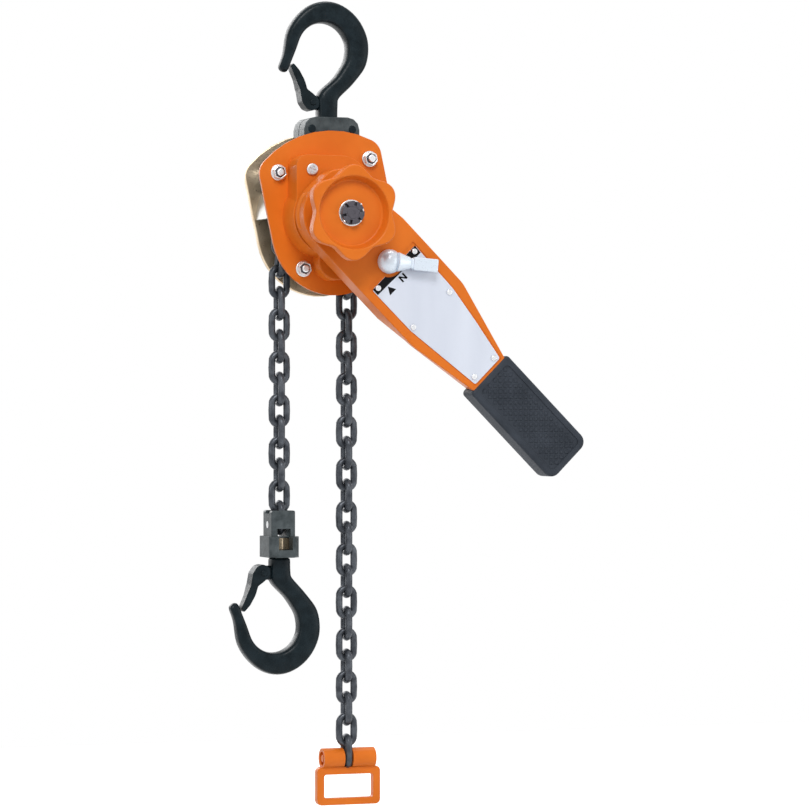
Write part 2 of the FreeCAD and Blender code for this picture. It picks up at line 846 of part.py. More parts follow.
def lever_front_shell():
    """The front pressing, with a shallow tray for the name plate."""
    shell = lever_shell(-lever_front, -lever_split, -lever_front + lever_wall + tray_depth, -lever_split + 1)
    tray = slab(plate_outline(-1.5), -lever_front - 1, -lever_front + tray_depth)
    holes = [bore(12.0, -lever_front - 1, -lever_split, sides=many),
             bore(selector_shaft + 1, -lever_front - 1, -lever_split, *selector_at)]
    return shell.cut(holes + [tray])


def lever_rear_shell():
    shell = lever_shell(-lever_split, -lever_back, -lever_split - 1, -lever_back - lever_wall)
    holes = [bore(change_neck + 1.0, -lever_back - 4, -lever_back + 1, sides=many),
             bore(selector_shaft + running_clear, -lever_back - 4, -lever_back + 1, *selector_at)]
    return shell.cut(holes)


def name_plate():
    return slab(plate_outline(0.0), -lever_front + tray_depth - plate_thick, -lever_front + tray_depth)


def grip():
    """The rubber sleeve over the lever's end, with a sunk panel on each face."""
    middle = -(lever_front + lever_back) / 2
    front = middle - grip_half_depth
    back = middle + grip_half_depth
    half = grip_half_width
    outline = rounded([(grip_from, -half, 3), (grip_to, -half, 7), (grip_to, half, 7), (grip_from, half, 3)], 3)
    panel_half = half - 8
    panel_corners = [(grip_from + 9, -panel_half), (grip_to - 7, -panel_half), (grip_to - 7, panel_half),
                     (grip_from + 9, panel_half)]
    panels = [slab(polygon(panel_corners), front - 1, front + 0.6), slab(polygon(panel_corners), back - 0.6, back + 1)]
    core = slab(lever_outline(0.0), -lever_front, -lever_back)
    return slab(outline, front, back).cut([core] + panels)


def selector_lever():
    """A round knob with an arm and a collar, on a shaft that runs through both lever shells."""
    x, z = selector_at
    top = -lever_front - 10.0
    knob = barrel(selector_knob, top, -lever_front - 0.4, x, z, many)
    dome = frustum(selector_knob * 0.6, selector_knob, top - 2.2, top, x, z, many)
    arm = slab(rounded([(x, z - 5.4, 0), (x + selector_length, z - 5.4, 4), (x + selector_length, z + 5.4, 4),
                        (x, z + 5.4, 0)], 2), top, top + 6)
    collar = block(x + 15, x + 18, top - 0.7, top + 6.7, z - 6.2, z + 6.2)
    shaft = barrel(selector_shaft, -lever_front - 1, -lever_back + 1.5, x, z)
    return turned(fused(knob, dome, arm, collar, shaft), selector_angle, x, z)


def change_pawl():
    """The lever's two-horned pawl, standing with one horn toward the change gear."""
    x, z = selector_at
    front = -lever_front + 4.4
    back = -lever_back - 4.4
    reach = math.hypot(x, z) - change_gear_tip - horn_gap
    hub = barrel(9.0, front, back, x, z)
    horn = slab(polygon([(x, z - 5), (x - reach + 3, z - 3.2), (x - reach, z - 1.0), (x - reach, z + 1.0),
                         (x - reach + 3, z + 3.2), (x, z + 5)]), front, back)
    toward_gear = math.degrees(math.atan2(z, x))
    horns = [turned(horn, toward_gear + turn, x, z) for turn in (0, horn_angle)]
    return fused(hub, *horns).cut(bore(selector_shaft + running_clear, front - 1, back + 1, x, z))


def detent_spring():
    """A leaf spring whose bent end rests against the pawl's hub."""
    x, z = selector_at
    leaf = polygon([(x + 9.4, z - 6), (x + 10.6, z - 6), (x + 11.4, z + 6), (x + 46, z + 14.2),
                    (x + 46, z + 15.4), (x + 10.4, z + 7)])
    return slab(leaf, -lever_front + 8, -lever_back - 8)


# Hand wheel, nut and split pin

def hand_wheel():
    """A lobed wheel with a dished front, on a hub that sits on the change gear."""
    corners = []
    for i in range(lobes * lobe_points):
        share = i / lobe_points
        swell = (0.5 + 0.5 * math.cos(2 * math.pi * share)) ** 0.7
        radius = lobe_valley + (lobe_tip - lobe_valley) * swell
        corners.append(polar(radius, lobe_turn - body_tilt + 360.0 * share / lobes))
    rim = slab(polygon(corners), -wheel_front, -wheel_back)
    dish = frustum(dish_radius, dish_radius - 3, -wheel_front, -dish_floor, sides=many)
    hollow = barrel(lobe_valley - 4, -wheel_back - 4, -wheel_back, sides=many)
    hub = barrel(13.0, -wheel_back - 4, -wheel_back + 9)
    body = fused(rim.cut([dish, hollow]), hub)
    return body.cut(barrel(shaft_radius, -castle_front, 0))


def castle_nut():
    nut = barrel(nut_radius, -castle_front, -dish_floor)
    slots = []
    for i in range(3):
        slot = block(-nut_radius - 1, nut_radius + 1, -castle_front - 1, -castle_front + 4, -nut_slot / 2, nut_slot / 2)
        slots.append(turned(slot, nut_turn - body_tilt + 60 * i))
    return nut.cut(slots + [barrel(shaft_radius, -castle_front - 1, -dish_floor + 1)])


def split_pin():
    ends = []
    for side in (-1, 1):
        ends.append(cross_bar(1.1, side * (nut_radius + 0.2) - 2.4, side * (nut_radius + 0.2) + 2.4, 0.0, 6))
    return turned(moved(together(ends), y=-castle_front + 2.6), nut_turn - body_tilt + 120)


# Hooks, latches and the top yoke

# Stations along the hook: inner edge, outer edge, thickness
tip_stations = (
    (-28.8, 17.2, -32.8, 16.9, 5.0),
    (-26.6, 13.0, -34.2, 12.6, 9.0),
    (-23.2, 4.6, -31.4, 4.4, 10.5),
    (-20.6, -5.5, -30.0, -6.5, 12.5),
)
# Stations round the bowl: angle, outer radius, thickness
bowl_stations = ((217, 31.2, 14.0), (240, 34.0, 15.5), (262, 37.8, 16.5), (284, 38.9, 17.0), (306, 38.9, 17.0),
                 (328, 38.7, 17.0), (350, 38.8, 17.0), (368, 38.4, 17.0))
neck_stations = (
    (18.0, 10.6, 34.6, 15.8, 16.5),
    (12.6, 19.3, 27.2, 25.2, 16.2),
    (6.6, 27.8, 19.8, 33.8, 16.0),
)


def hook_ring(inner_x, inner_z, outer_x, outer_z, thickness):
    """An eight-cornered section across the hook."""
    middle = point((inner_x + outer_x) / 2, (inner_z + outer_z) / 2)
    across = point(outer_x - inner_x, outer_z - inner_z)
    depth = FreeCAD.Vector(0, thickness, 0)
    half = 0.5 / math.cos(math.pi / 8)
    return [middle + across * u + depth * v for u, v in around(half, 8)]


def hook(shank_x, upper_rings):
    """A forged hook with its bowl about the origin, its tip on the left and its shank going up."""
    rings = [hook_ring(*values) for values in tip_stations]
    for angle, outer, thickness in bowl_stations:
        rings.append(hook_ring(*polar(bowl_radius, angle), *polar(outer, angle), thickness))
    rings += [hook_ring(*values) for values in neck_stations]
    rings.append(hook_ring(shank_x - 7.2, 35.5, shank_x + 9.0, 40.5, 16.0))
    for z, radius in upper_rings:
        rings.append(hook_ring(shank_x - radius, z, shank_x + radius, z, 2 * radius))
    hub_x, hub_z = latch_hub
    ear = slab(polygon([(hub_x - 5.4, hub_z - 3), (hub_x - 2, hub_z - 5.8), (shank_x, hub_z - 5.8),
                        (shank_x, hub_z + 5.8), (hub_x - 2, hub_z + 5.8), (hub_x - 5.4, hub_z + 3)]),
               -ear_half_depth, ear_half_depth)
    return fused(skin(rings), ear).cut(barrel(latch_pin_radius, -20, 20, hub_x, hub_z, few))


def latch():
    """A pressed channel that closes the hook's mouth: two cheeks round the ear and a web facing out."""
    x, z = latch_hub
    outline = [(x + 4.4, z + 4.8), (x - 1.0, z + 6.8), (-17.1, 49.4), (-22.9, 42.5), (-24.8, 32.2), (-28.2, 21.4),
               (-27.9, 18.8), (-25.8, 13.4), (-24.2, 10.4), (-20.4, 16.9), (-15.4, 25.5), (-13.7, 34.0),
               (x + 2.4, z - 6.0), (x + 4.6, z - 2.0)]
    inside = [(u + latch_sheet, v - 1.1) for u, v in outline]
    mouth = [(x - 4.0, z - 9.0), (x + 14, z - 9.0), (x + 14, z + 9), (x - 4.0, z + 9)]
    inner_half = latch_half_depth - latch_sheet
    cuts = [slab(polygon(inside), -inner_half, inner_half), slab(polygon(mouth), -inner_half, inner_half),
            bore(latch_pin_radius + running_clear, -20, 20, x, z, few)]
    return slab(polygon(outline), -latch_half_depth, latch_half_depth).cut(cuts)


def latch_pin():
    return barrel(latch_pin_radius, -latch_half_depth - 1, latch_half_depth + 1, *latch_hub, few)


def in_top_hook(shape):
    """From the upright hook's frame to the top hook, which stands the other way up."""
    copy = shape.copy()
    copy.rotate(drive_axis, FreeCAD.Vector(1, 0, 0), 180)
    return moved(copy, x=top_bowl[0], z=top_bowl[1])


top_shank = top_bowl[0] + top_shank_x


def top_hook():
    head_low = top_bowl[1] - hook_head_to
    head_high = top_bowl[1] - hook_head_from
    rings = [(44.5, shank_radius), (head_low - 0.2, shank_radius), (head_low, hook_head_radius),
             (head_high, hook_head_radius)]
    return in_top_hook(hook(top_shank_x, rings))


def suspension_in_pose():
    angle = math.radians(body_tilt)
    x, z = suspension_pin_at
    return x * math.cos(angle) - z * math.sin(angle), x * math.sin(angle) + z * math.cos(angle)


def yoke_half(y_from, y_to):
    """One half of the top yoke: a forged block round the hook's head and the suspension pin."""
    x = top_shank
    pin_x, pin_z = suspension_in_pose()
    low = pin_z - 12.5
    outline = rounded([(x - yoke_half_width, yoke_top, 10), (x + yoke_half_width, yoke_top, 10),
                       (x + yoke_half_width, yoke_shoulder, 0), (pin_x + 13, low, 11), (pin_x - 13, low, 11),
                       (x - yoke_half_width, yoke_shoulder, 0)], 3)
    corner_radius = shank_radius / math.cos(math.pi / 8)
    head_corner = hook_head_radius / math.cos(math.pi / 8)
    cuts = [post(corner_radius + 0.6, hook_head_from, yoke_top + 1, x=x),
            post(head_corner + 0.6, hook_head_from - 0.3, hook_head_to + 0.3, x=x),
            bore(suspension_pin_radius + running_clear, -30, 30, pin_x, pin_z)]
    for side in (-1, 1):
        cuts.append(barrel(yoke_bolt_radius, -30, 30, x + side * yoke_bolt_x, yoke_bolt_z, few))
    return slab(outline, y_from, y_to).cut(cuts)


def yoke_bolts():
    bolts = []
    for side in (-1, 1):
        place_at = (top_shank + side * yoke_bolt_x, yoke_bolt_z)
        bolts.append(barrel(yoke_bolt_radius, -yoke_half_depth - 0.3, yoke_half_depth + 0.3, *place_at, few))
    return together(bolts)


# Bottom block

last_load = load_pivots[-1]
chain_pin_z = last_load[1] + wire / 2 + chain_pin_radius + pin_clear
load_end = last_load[1] - wire / 2
cage_top = chain_pin_z + 11.3
flange_top = cage_top - cage_height
block_low = flange_top - flange_height
nut_low = block_low + 6.0
nut_high = nut_low + hook_nut_height
bottom_bowl = (-strand_x - bottom_shank_x, block_low - 55.5)


def bottom_yoke():
    """The block under the load chain: a slotted cage for the last link and a flange for the hook's nut."""
    x = -strand_x
    cage = block(x - cage_half_width, x + cage_half_width, -cage_half_depth, cage_half_depth, flange_top, cage_top)
    wide = flange_half_width
    deep = flange_half_depth
    corners = [(-wide, -deep + 4), (-wide + 4, -deep), (wide - 4, -deep), (wide, -deep + 4),
               (wide, deep - 4), (wide - 4, deep), (-wide + 4, deep), (-wide, deep - 4)]
    base = Part.Face(loop([FreeCAD.Vector(x + u, v, block_low) for u, v in corners]))
    flange = base.extrude(FreeCAD.Vector(0, 0, flange_height))
    slot = block(x - 3.6, x + 3.6, -cage_slot_half, cage_slot_half, load_end - 0.6, cage_top + 1)
    notch = block(x - wide, x + wide, -5.2, 5.2, chain_pin_z + 8.8, cage_top + 1)
    nut_room = post(hook_nut_flats / math.sqrt(3) + 0.6, nut_low, nut_high + 0.6, x=x)
    front_window = block(x - 5.8, x + 5.8, -flange_half_depth - 1, -7.5, nut_low, chain_pin_z - 3.2)
    back_window = block(x - 5.8, x + 5.8, 7.5, flange_half_depth + 1, nut_low, chain_pin_z - 3.2)
    shank_hole = post(stub_radius / math.cos(math.pi / 8) + 0.2, block_low - 1, nut_low + 1, x=x)
    pin_hole = cross_bar(chain_pin_radius, x - 20, x + 20, chain_pin_z)
    return fused(cage, flange).cut([slot, notch, nut_room, front_window, back_window, shank_hole, pin_hole])


def chain_pin():
    return cross_bar(chain_pin_radius, -strand_x - cage_half_width, -strand_x + cage_half_width, chain_pin_z)


def in_bottom_hook(shape):
    return moved(shape, x=bottom_bowl[0], z=bottom_bowl[1])


def bottom_hook():
    neck_top = block_low - bottom_bowl[1]
    stub_top = nut_high - bottom_bowl[1]
    rings = [(44.5, shank_radius), (neck_top - 2.2, shank_radius), (neck_top - 0.4, stub_radius),
             (stub_top, stub_radius)]
    return in_bottom_hook(hook(bottom_shank_x, rings))


def bottom_hook_nut():
    nut = post(hook_nut_flats / math.sqrt(3), nut_low + 0.3, nut_high, x=-strand_x, sides=6)
    return nut.cut(post(stub_radius / math.cos(math.pi / 8), nut_low - 1, nut_high + 1, x=-strand_x, sides=8))


# Tail ring

last_slack = slack_pivots[-1]
tail_z = last_slack[1] + wire / 2 + chain_pin_radius + pin_clear
tail_x = strand_x + 1.0


def tail_ring():
    """The slack end's ring: a split tube round the last link's pin, on a rectangular frame."""
    x = tail_x
    bar_tube = cross_bar(ring_tube_radius, x - ring_tube_half, x + ring_tube_half, tail_z, many)
    top = tail_z - ring_tube_radius + 0.8
    low = top - ring_frame_height
    half = ring_frame_half
    bar = ring_bar
    frame = slab(rounded([(x - half, low, 4), (x + half, low, 4), (x + half, top, 3), (x - half, top, 3)], 2),
                 -ring_half_depth, ring_half_depth)
    window = slab(rounded([(x - half + bar, low + bar, 2), (x + half - bar, low + bar, 2),
                           (x + half - bar, top - bar, 2), (x - half + bar, top - bar, 2)], 2), -10, 10)
    slot = block(strand_x - 3.5, strand_x + 3.5, -12, 12, last_slack[1] - wire / 2 - 0.6, tail_z + 12)
    hole = cross_bar(chain_pin_radius, x - 30, x + 30, tail_z)
    return fused(bar_tube, frame.cut(window)).cut([slot, hole])


def tail_pin():
    reach = ring_tube_half - 0.5
    return cross_bar(chain_pin_radius, tail_x - reach, tail_x + reach, tail_z)


# Everything by name, with how it is carried into the hanging pose

def body_frame(shape):
    return turned(shape, body_tilt)


def lever_frame(shape):
    return turned(shape, lever_turn)


def as_is(shape):
    return shape


first_pawl, second_pawl = brake_pawls()
pieces = {
    "top_hook": (top_hook(), as_is),
    "top_latch": (in_top_hook(latch()), as_is),
    "top_latch_pin": (in_top_hook(latch_pin()), as_is),
    "top_yoke_front": (yoke_half(-yoke_half_depth, 0.0), as_is),
    "top_yoke_rear": (yoke_half(0.0, yoke_half_depth), as_is),
    "yoke_bolts": (yoke_bolts(), as_is),
    "suspension_pin": (suspension_pin(), body_frame),
    "brake_side_plate": (brake_side_plate(), body_frame),
    "gear_side_plate": (gear_side_plate(), body_frame),
    "stay_bolts": (stay_bolts(), body_frame),
    "stay_nuts": (stay_nuts(), body_frame),
    "stay_spacers": (stay_spacers(), body_frame),
    "wheel_bushes": (wheel_bushes(), body_frame),
    "chain_guides": (chain_guides(), body_frame),
    "chain_stripper": (chain_stripper(), body_frame),
    "gear_cover": (gear_cover(), body_frame),
    "brake_cover": (brake_cover(), body_frame),
    "cover_screw": (cover_screw(), body_frame),
    "pawl_pins": (pawl_pins(), body_frame),
    "upper_brake_pawl": (first_pawl, as_is),
    "lower_brake_pawl": (second_pawl, as_is),
    "ratchet_disc": (ratchet_disc(), as_is),
    "load_wheel": (load_wheel(), as_is),
    "load_gear": (load_gear(), body_frame),
    "wheel_links": (together(wheel_chain()), as_is),
    "upper_idler_gear": (idler(idler_angles[0]), body_frame),
    "lower_idler_gear": (idler(idler_angles[1]), body_frame),
    "drive_shaft": (drive_shaft(), body_frame),
    "brake_hub": (brake_hub(), body_frame),
    "friction_discs": (friction_discs(), body_frame),
    "change_gear": (change_gear(), body_frame),
    "hand_wheel": (hand_wheel(), body_frame),
    "castle_nut": (castle_nut(), body_frame),
    "split_pin": (split_pin(), body_frame),
    "lever_front_shell": (lever_front_shell(), lever_frame),
    "lever_rear_shell": (lever_rear_shell(), lever_frame),
    "name_plate": (name_plate(), lever_frame),
    "grip": (grip(), lever_frame),
    "detent_spring": (detent_spring(), lever_frame),
    "selector_lever": (selector_lever(), lever_frame),
    "change_pawl": (change_pawl(), lever_frame),
    "load_lead_link": (load_strand[0], as_is),
    "load_chain": (together(load_strand[1:]), as_is),
    "slack_lead_link": (slack_lead, as_is),
    "slack_chain": (together(slack_strand), as_is),
    "chain_pin": (chain_pin(), as_is),
    "bottom_yoke": (bottom_yoke(), as_is),
    "bottom_hook": (bottom_hook(), as_is),
    "bottom_hook_nut": (bottom_hook_nut(), as_is),
    "bottom_latch": (in_bottom_hook(latch()), as_is),
    "bottom_latch_pin": (in_bottom_hook(latch_pin()), as_is),
    "tail_ring": (tail_ring(), as_is),
    "tail_pin": (tail_pin(), as_is),
}


def place(shape):
    """From the drive axis to the top hook's saddle as the origin."""
    return moved(shape, x=-saddle.x, z=-saddle.z)


os.makedirs("parts", exist_ok=True)
for name, (shape, carry) in pieces.items():
    place(carry(shape)).exportStep("parts/" + name + ".step")
print(len(pieces), "pieces written")
print("drive axis", round(-saddle.x, 3), round(-saddle.z, 3))
print("load strand hangs from", [tuple(round(v, 3) for v in at) for at in load_pivots[:2]])
print("slack strand hangs from", [tuple(round(v, 3) for v in at) for at in (slack_start, slack_pivots[0])])
print("suspension pin", [round(v, 3) for v in suspension_in_pose()])
print("chain pin", round(chain_pin_z, 3), "tail pin", round(tail_z, 3))
print("bottom block", round(cage_top, 2), round(block_low, 2), "bowl", [round(v, 2) for v in bottom_bowl])
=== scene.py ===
# %% [markdown]
# # A lever chain hoist
# The hoist hangs from its top hook. A hand lever with a rubber grip turns a load wheel, and the load
# chain runs over that wheel between two plates. The working parts come from a CAD model as a fixed
# frame. Here each visible piece gets the rounded edges, fillets and finishes that the real one has.

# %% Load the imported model
import json
import math

import bmesh
import bpy
import numpy as np
from mathutils import Matrix, Vector


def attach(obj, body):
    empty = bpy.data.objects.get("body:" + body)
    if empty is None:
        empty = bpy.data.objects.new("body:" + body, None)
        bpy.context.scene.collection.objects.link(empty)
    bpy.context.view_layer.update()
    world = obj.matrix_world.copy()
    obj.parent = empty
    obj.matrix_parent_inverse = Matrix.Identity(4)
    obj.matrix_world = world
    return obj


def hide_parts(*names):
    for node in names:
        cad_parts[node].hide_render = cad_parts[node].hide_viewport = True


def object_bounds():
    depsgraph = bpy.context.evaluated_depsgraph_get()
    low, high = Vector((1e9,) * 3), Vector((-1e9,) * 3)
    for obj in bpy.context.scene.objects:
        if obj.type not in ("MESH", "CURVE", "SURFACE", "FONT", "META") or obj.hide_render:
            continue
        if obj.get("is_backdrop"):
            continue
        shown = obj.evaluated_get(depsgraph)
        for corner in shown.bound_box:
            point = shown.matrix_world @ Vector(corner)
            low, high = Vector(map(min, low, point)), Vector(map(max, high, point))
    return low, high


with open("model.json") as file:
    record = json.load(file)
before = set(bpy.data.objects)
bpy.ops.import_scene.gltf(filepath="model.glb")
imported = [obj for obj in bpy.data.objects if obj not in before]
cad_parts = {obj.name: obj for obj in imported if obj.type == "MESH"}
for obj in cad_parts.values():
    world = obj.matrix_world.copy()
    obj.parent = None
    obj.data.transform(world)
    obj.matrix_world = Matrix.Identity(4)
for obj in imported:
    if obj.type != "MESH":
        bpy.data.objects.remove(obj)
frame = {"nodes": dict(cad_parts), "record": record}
cad_low, cad_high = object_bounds()
MM = 0.001
DRIVE_AXIS = Vector((-7.2, 0.0, -156.5)) * MM
BODY_TILT = 12.0
LEVER_TURN = -45.0
print("CAD box in mm:", [round(v / MM, 1) for v in (cad_high - cad_low)])

# %% [markdown]
# Every operator acts on what is selected, and the loaded nodes are all selected at first. These
# helpers select one piece, change it in edit mode, and pick the edges that a tool should work on.
# The last ones put a piece in place and make the plain bars and blocks that many pieces start from.

# %% Selecting and editing


def only(piece):
    """Select this piece alone and make it the active one."""
    if bpy.context.mode != "OBJECT":
        bpy.ops.object.mode_set(mode="OBJECT")
    bpy.ops.object.select_all(action="DESELECT")
    piece.select_set(True)
    bpy.context.view_layer.objects.active = piece
    return piece


def edit(piece):
    """Go into edit mode with the whole mesh selected."""
    only(piece)
    bpy.ops.object.mode_set(mode="EDIT")
    bpy.ops.mesh.select_all(action="SELECT")


def leave():
    bpy.ops.object.mode_set(mode="OBJECT")


def pick(kind, test):
    """In edit mode, select only the VERT, EDGE or FACE items whose middle, in mm, passes the test."""
    bpy.ops.mesh.select_mode(type=kind)
    bpy.ops.mesh.select_all(action="DESELECT")
    data = bpy.context.edit_object.data
    mesh = bmesh.from_edit_mesh(data)
    items = {"VERT": mesh.verts, "EDGE": mesh.edges, "FACE": mesh.faces}[kind]
    found = 0
    for item in items:
        corners = [item] if kind == "VERT" else item.verts
        middle = sum((v.co for v in corners), Vector()) / len(corners) / MM
        if test(item, middle):
            item.select_set(True)
            found += 1
    mesh.select_flush_mode()
    bmesh.update_edit_mesh(data)
    return found


def modify(piece, kind, **settings):
    """Add a modifier, set it and apply it."""
    only(piece)
    modifier = piece.modifiers.new(kind.title(), kind)
    for name, value in settings.items():
        setattr(modifier, name, value)
    bpy.ops.object.modifier_apply(modifier=modifier.name)


def soften(piece, width, segments=2, angle=30):
    """Round every sharp edge by the same width in mm."""
    modify(piece, "BEVEL", width=width * MM, segments=segments, limit_method="ANGLE",
           angle_limit=math.radians(angle), harden_normals=False)


def join(pieces):
    only(pieces[0])
    for piece in pieces[1:]:
        piece.select_set(True)
    bpy.ops.object.join()
    return pieces[0]


def carve(piece, tool, operation="DIFFERENCE"):
    """Cut a tool out of a piece, or melt it on, and remove the tool."""
    modify(piece, "BOOLEAN", object=tool, operation=operation, solver="EXACT")
    bpy.data.objects.remove(tool)


def place(piece, turn=0.0, at=DRIVE_AXIS):
    """Turn a piece counter-clockwise as seen from the front, put it in its place, and apply both."""
    only(piece)
    piece.rotation_euler = (0.0, math.radians(-turn), 0.0)
    piece.location = at
    bpy.ops.object.transform_apply(location=True, rotation=True, scale=True)
    return piece


def spot(x, z, y=0.0):
    """A place given in mm, as a vector in metres."""
    return Vector((x * MM, y * MM, z * MM))


def rod(depth, radius, y, corners=48):
    """A bar along Y whose middle is at y, in mm."""
    bpy.ops.mesh.primitive_cylinder_add(vertices=corners, radius=radius * MM, depth=depth * MM,
                                        location=(0.0, y * MM, 0.0), rotation=(math.radians(90), 0.0, 0.0))
    bpy.ops.object.transform_apply(location=True, rotation=True, scale=True)
    return bpy.context.object


def box(middle, size, turn=0.0):
    """A block of a size in mm about its middle, turned about Y by an angle in degrees."""
    bpy.ops.mesh.primitive_cube_add(size=1.0, location=[value * MM for value in middle],
                                    scale=[value * MM for value in size],
                                    rotation=(0.0, math.radians(turn), 0.0))
    bpy.ops.object.transform_apply(location=True, rotation=True, scale=True)
    return bpy.context.object


# %% [markdown]
# ## Camera, floor and light
# The camera stands three metres away, a little to the left of square on, and its long lens keeps
# the hoist almost free of perspective. A large soft lamp above on the left makes the bright edges
# on the enamel. The background is pure white only to the camera and to shiny or clear surfaces. To
# the light that falls on the hoist it is dim.

# %% Camera
AIM = Vector((70.9, 0.0, -305.5)) * MM
CAMERA_TURN = math.radians(-20)
CAMERA_DISTANCE = 3.0
VIEW_WIDTH = 0.6541
SENSOR_WIDTH = 36.0

camera_data = bpy.data.cameras.new("camera")
camera_data.sensor_width = SENSOR_WIDTH
camera_data.lens = SENSOR_WIDTH * CAMERA_DISTANCE / VIEW_WIDTH
camera_data.clip_end = 50.0
camera = bpy.data.objects.new("camera", camera_data)
camera.location = AIM + CAMERA_DISTANCE * Vector((math.sin(CAMERA_TURN), -math.cos(CAMERA_TURN), 0.0))
camera.rotation_euler = (math.radians(90), 0.0, CAMERA_TURN)
bpy.context.scene.collection.objects.link(camera)
bpy.context.scene.camera = camera
bpy.context.scene.view_settings.view_transform = "Standard"

# %% White background and floor


def seen_white(tree):
    """A number that is 1 for camera, gloss and glass rays, and 0 for the rays that light the hoist."""
    path = tree.nodes.new("ShaderNodeLightPath")
    seen = path.outputs["Is Camera Ray"]
    for name in ("Is Glossy Ray", "Is Transmission Ray"):
        either = tree.nodes.new("ShaderNodeMath")
        either.operation = "MAXIMUM"
        tree.links.new(seen, either.inputs[0])
        tree.links.new(path.outputs[name], either.inputs[1])
        seen = either.outputs[0]
    return seen


def mix_shaders(tree, factor, first, second, output):
    mix = tree.nodes.new("ShaderNodeMixShader")
    tree.links.new(factor, mix.inputs[0])
    tree.links.new(first.outputs[0], mix.inputs[1])
    tree.links.new(second.outputs[0], mix.inputs[2])
    tree.links.new(mix.outputs[0], output.inputs["Surface"])


AMBIENT = 0.3
world = bpy.data.worlds.new("studio")
bpy.context.scene.world = world
world.use_nodes = True
sky = world.node_tree
sky.nodes.clear()
shades = []
for strength in (AMBIENT, 1.0):
    shade = sky.nodes.new("ShaderNodeBackground")
    shade.inputs["Color"].default_value = (1.0, 1.0, 1.0, 1.0)
    shade.inputs["Strength"].default_value = strength
    shades.append(shade)
mix_shaders(sky, seen_white(sky), *shades, sky.nodes.new("ShaderNodeOutputWorld"))

FLOOR_DROP = 60.0
FLOOR_GLOW = 0.7
bpy.ops.mesh.primitive_plane_add(size=2.4, location=(0.0, 0.0, cad_low.z - FLOOR_DROP * MM))
floor = bpy.context.object
floor.name = "floor"
floor_finish = bpy.data.materials.new("floor_white")
floor_finish.use_nodes = True
ground = floor_finish.node_tree
matt = ground.nodes["Principled BSDF"]
matt.inputs["Base Color"].default_value = (0.8, 0.8, 0.8, 1.0)
matt.inputs["Roughness"].default_value = 0.9
matt.inputs["Specular IOR Level"].default_value = 0.0
glow = ground.nodes.new("ShaderNodeEmission")
glow.inputs["Strength"].default_value = FLOOR_GLOW
bright = ground.nodes.new("ShaderNodeAddShader")
ground.links.new(matt.outputs[0], bright.inputs[0])
ground.links.new(glow.outputs[0], bright.inputs[1])
mix_shaders(ground, seen_white(ground), matt, bright, ground.nodes["Material Output"])
floor.data.materials.append(floor_finish)
floor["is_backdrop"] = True

# %% Soft lamps


def lamp(name, position, size, power):
    """A square soft lamp that faces the middle of the hoist."""
    data = bpy.data.lights.new(name, "AREA")
    data.shape = "SQUARE"
    data.size = size
    data.energy = power
    item = bpy.data.objects.new(name, data)
    item.location = Vector(position)
    item.rotation_euler = (AIM - item.location).to_track_quat("-Z", "Y").to_euler()
    bpy.context.scene.collection.objects.link(item)


lamp("key", (-0.5, -1.9, 1.3), 0.9, 34.0)
lamp("fill", (1.6, -1.5, -0.1), 1.3, 9.0)
lamp("side", (-1.9, -0.7, 0.2), 0.9, 5.0)
lamp("top", (0.3, 0.3, 1.5), 0.8, 12.0)
lamp("back", (-0.4, 1.9, 0.3), 1.2, 12.0)

# %% [markdown]
# ## Finishes
# Each finish is a few nodes: an even colour with a slow drift, a roughness that varies, and a fine
# bump at the size of the real grain. Sizes are given in millimetres and turned into noise scales,
# since a noise texture's scale counts waves per metre on Object coordinates.

# %% A finish with drifting colour, roughness and grain
DRIFT_BAND = (0.35, 0.65)
GRAIN_BAND = (0.3, 0.7)


def finish(name, colours, roughness, grain_mm, grain_depth_mm, drift_mm=30.0, metallic=0.0, gloss=0.5,
           stretch=(1.0, 1.0, 1.0)):
    """Slow noise moves between the two colours, and the fine grain between the two roughnesses."""
    material = bpy.data.materials.new(name)
    material.use_nodes = True
    nodes = material.node_tree.nodes
    links = material.node_tree.links
    shader = nodes["Principled BSDF"]
    shader.inputs["Metallic"].default_value = metallic
    shader.inputs["Specular IOR Level"].default_value = gloss
    where = nodes.new("ShaderNodeTexCoord")
    mapping = nodes.new("ShaderNodeMapping")
    mapping.inputs["Scale"].default_value = stretch
    links.new(where.outputs["Object"], mapping.inputs["Vector"])
    drift = nodes.new("ShaderNodeTexNoise")
    drift.inputs["Scale"].default_value = 1.0 / (drift_mm * MM)
    drift.inputs["Detail"].default_value = 3.0
    links.new(mapping.outputs["Vector"], drift.inputs["Vector"])
    ramp = nodes.new("ShaderNodeValToRGB")
    for element, position, colour in zip(ramp.color_ramp.elements, DRIFT_BAND, colours):
        element.position = position
        element.color = (*colour, 1.0)
    links.new(drift.outputs["Fac"], ramp.inputs["Fac"])
    links.new(ramp.outputs["Color"], shader.inputs["Base Color"])
    spread = nodes.new("ShaderNodeMapRange")
    for end, value in zip(("From Min", "From Max", "To Min", "To Max"), (*GRAIN_BAND, *roughness)):
        spread.inputs[end].default_value = value
    grain = nodes.new("ShaderNodeTexNoise")
    grain.inputs["Scale"].default_value = 1.0 / (grain_mm * MM)
    grain.inputs["Detail"].default_value = 4.0
    links.new(mapping.outputs["Vector"], grain.inputs["Vector"])
    links.new(grain.outputs["Fac"], spread.inputs["Value"])
    links.new(spread.outputs["Result"], shader.inputs["Roughness"])
    bump = nodes.new("ShaderNodeBump")
    bump.inputs["Strength"].default_value = 1.0
    bump.inputs["Distance"].default_value = grain_depth_mm * MM
    links.new(grain.outputs["Fac"], bump.inputs["Height"])
    links.new(bump.outputs["Normal"], shader.inputs["Normal"])
    return material


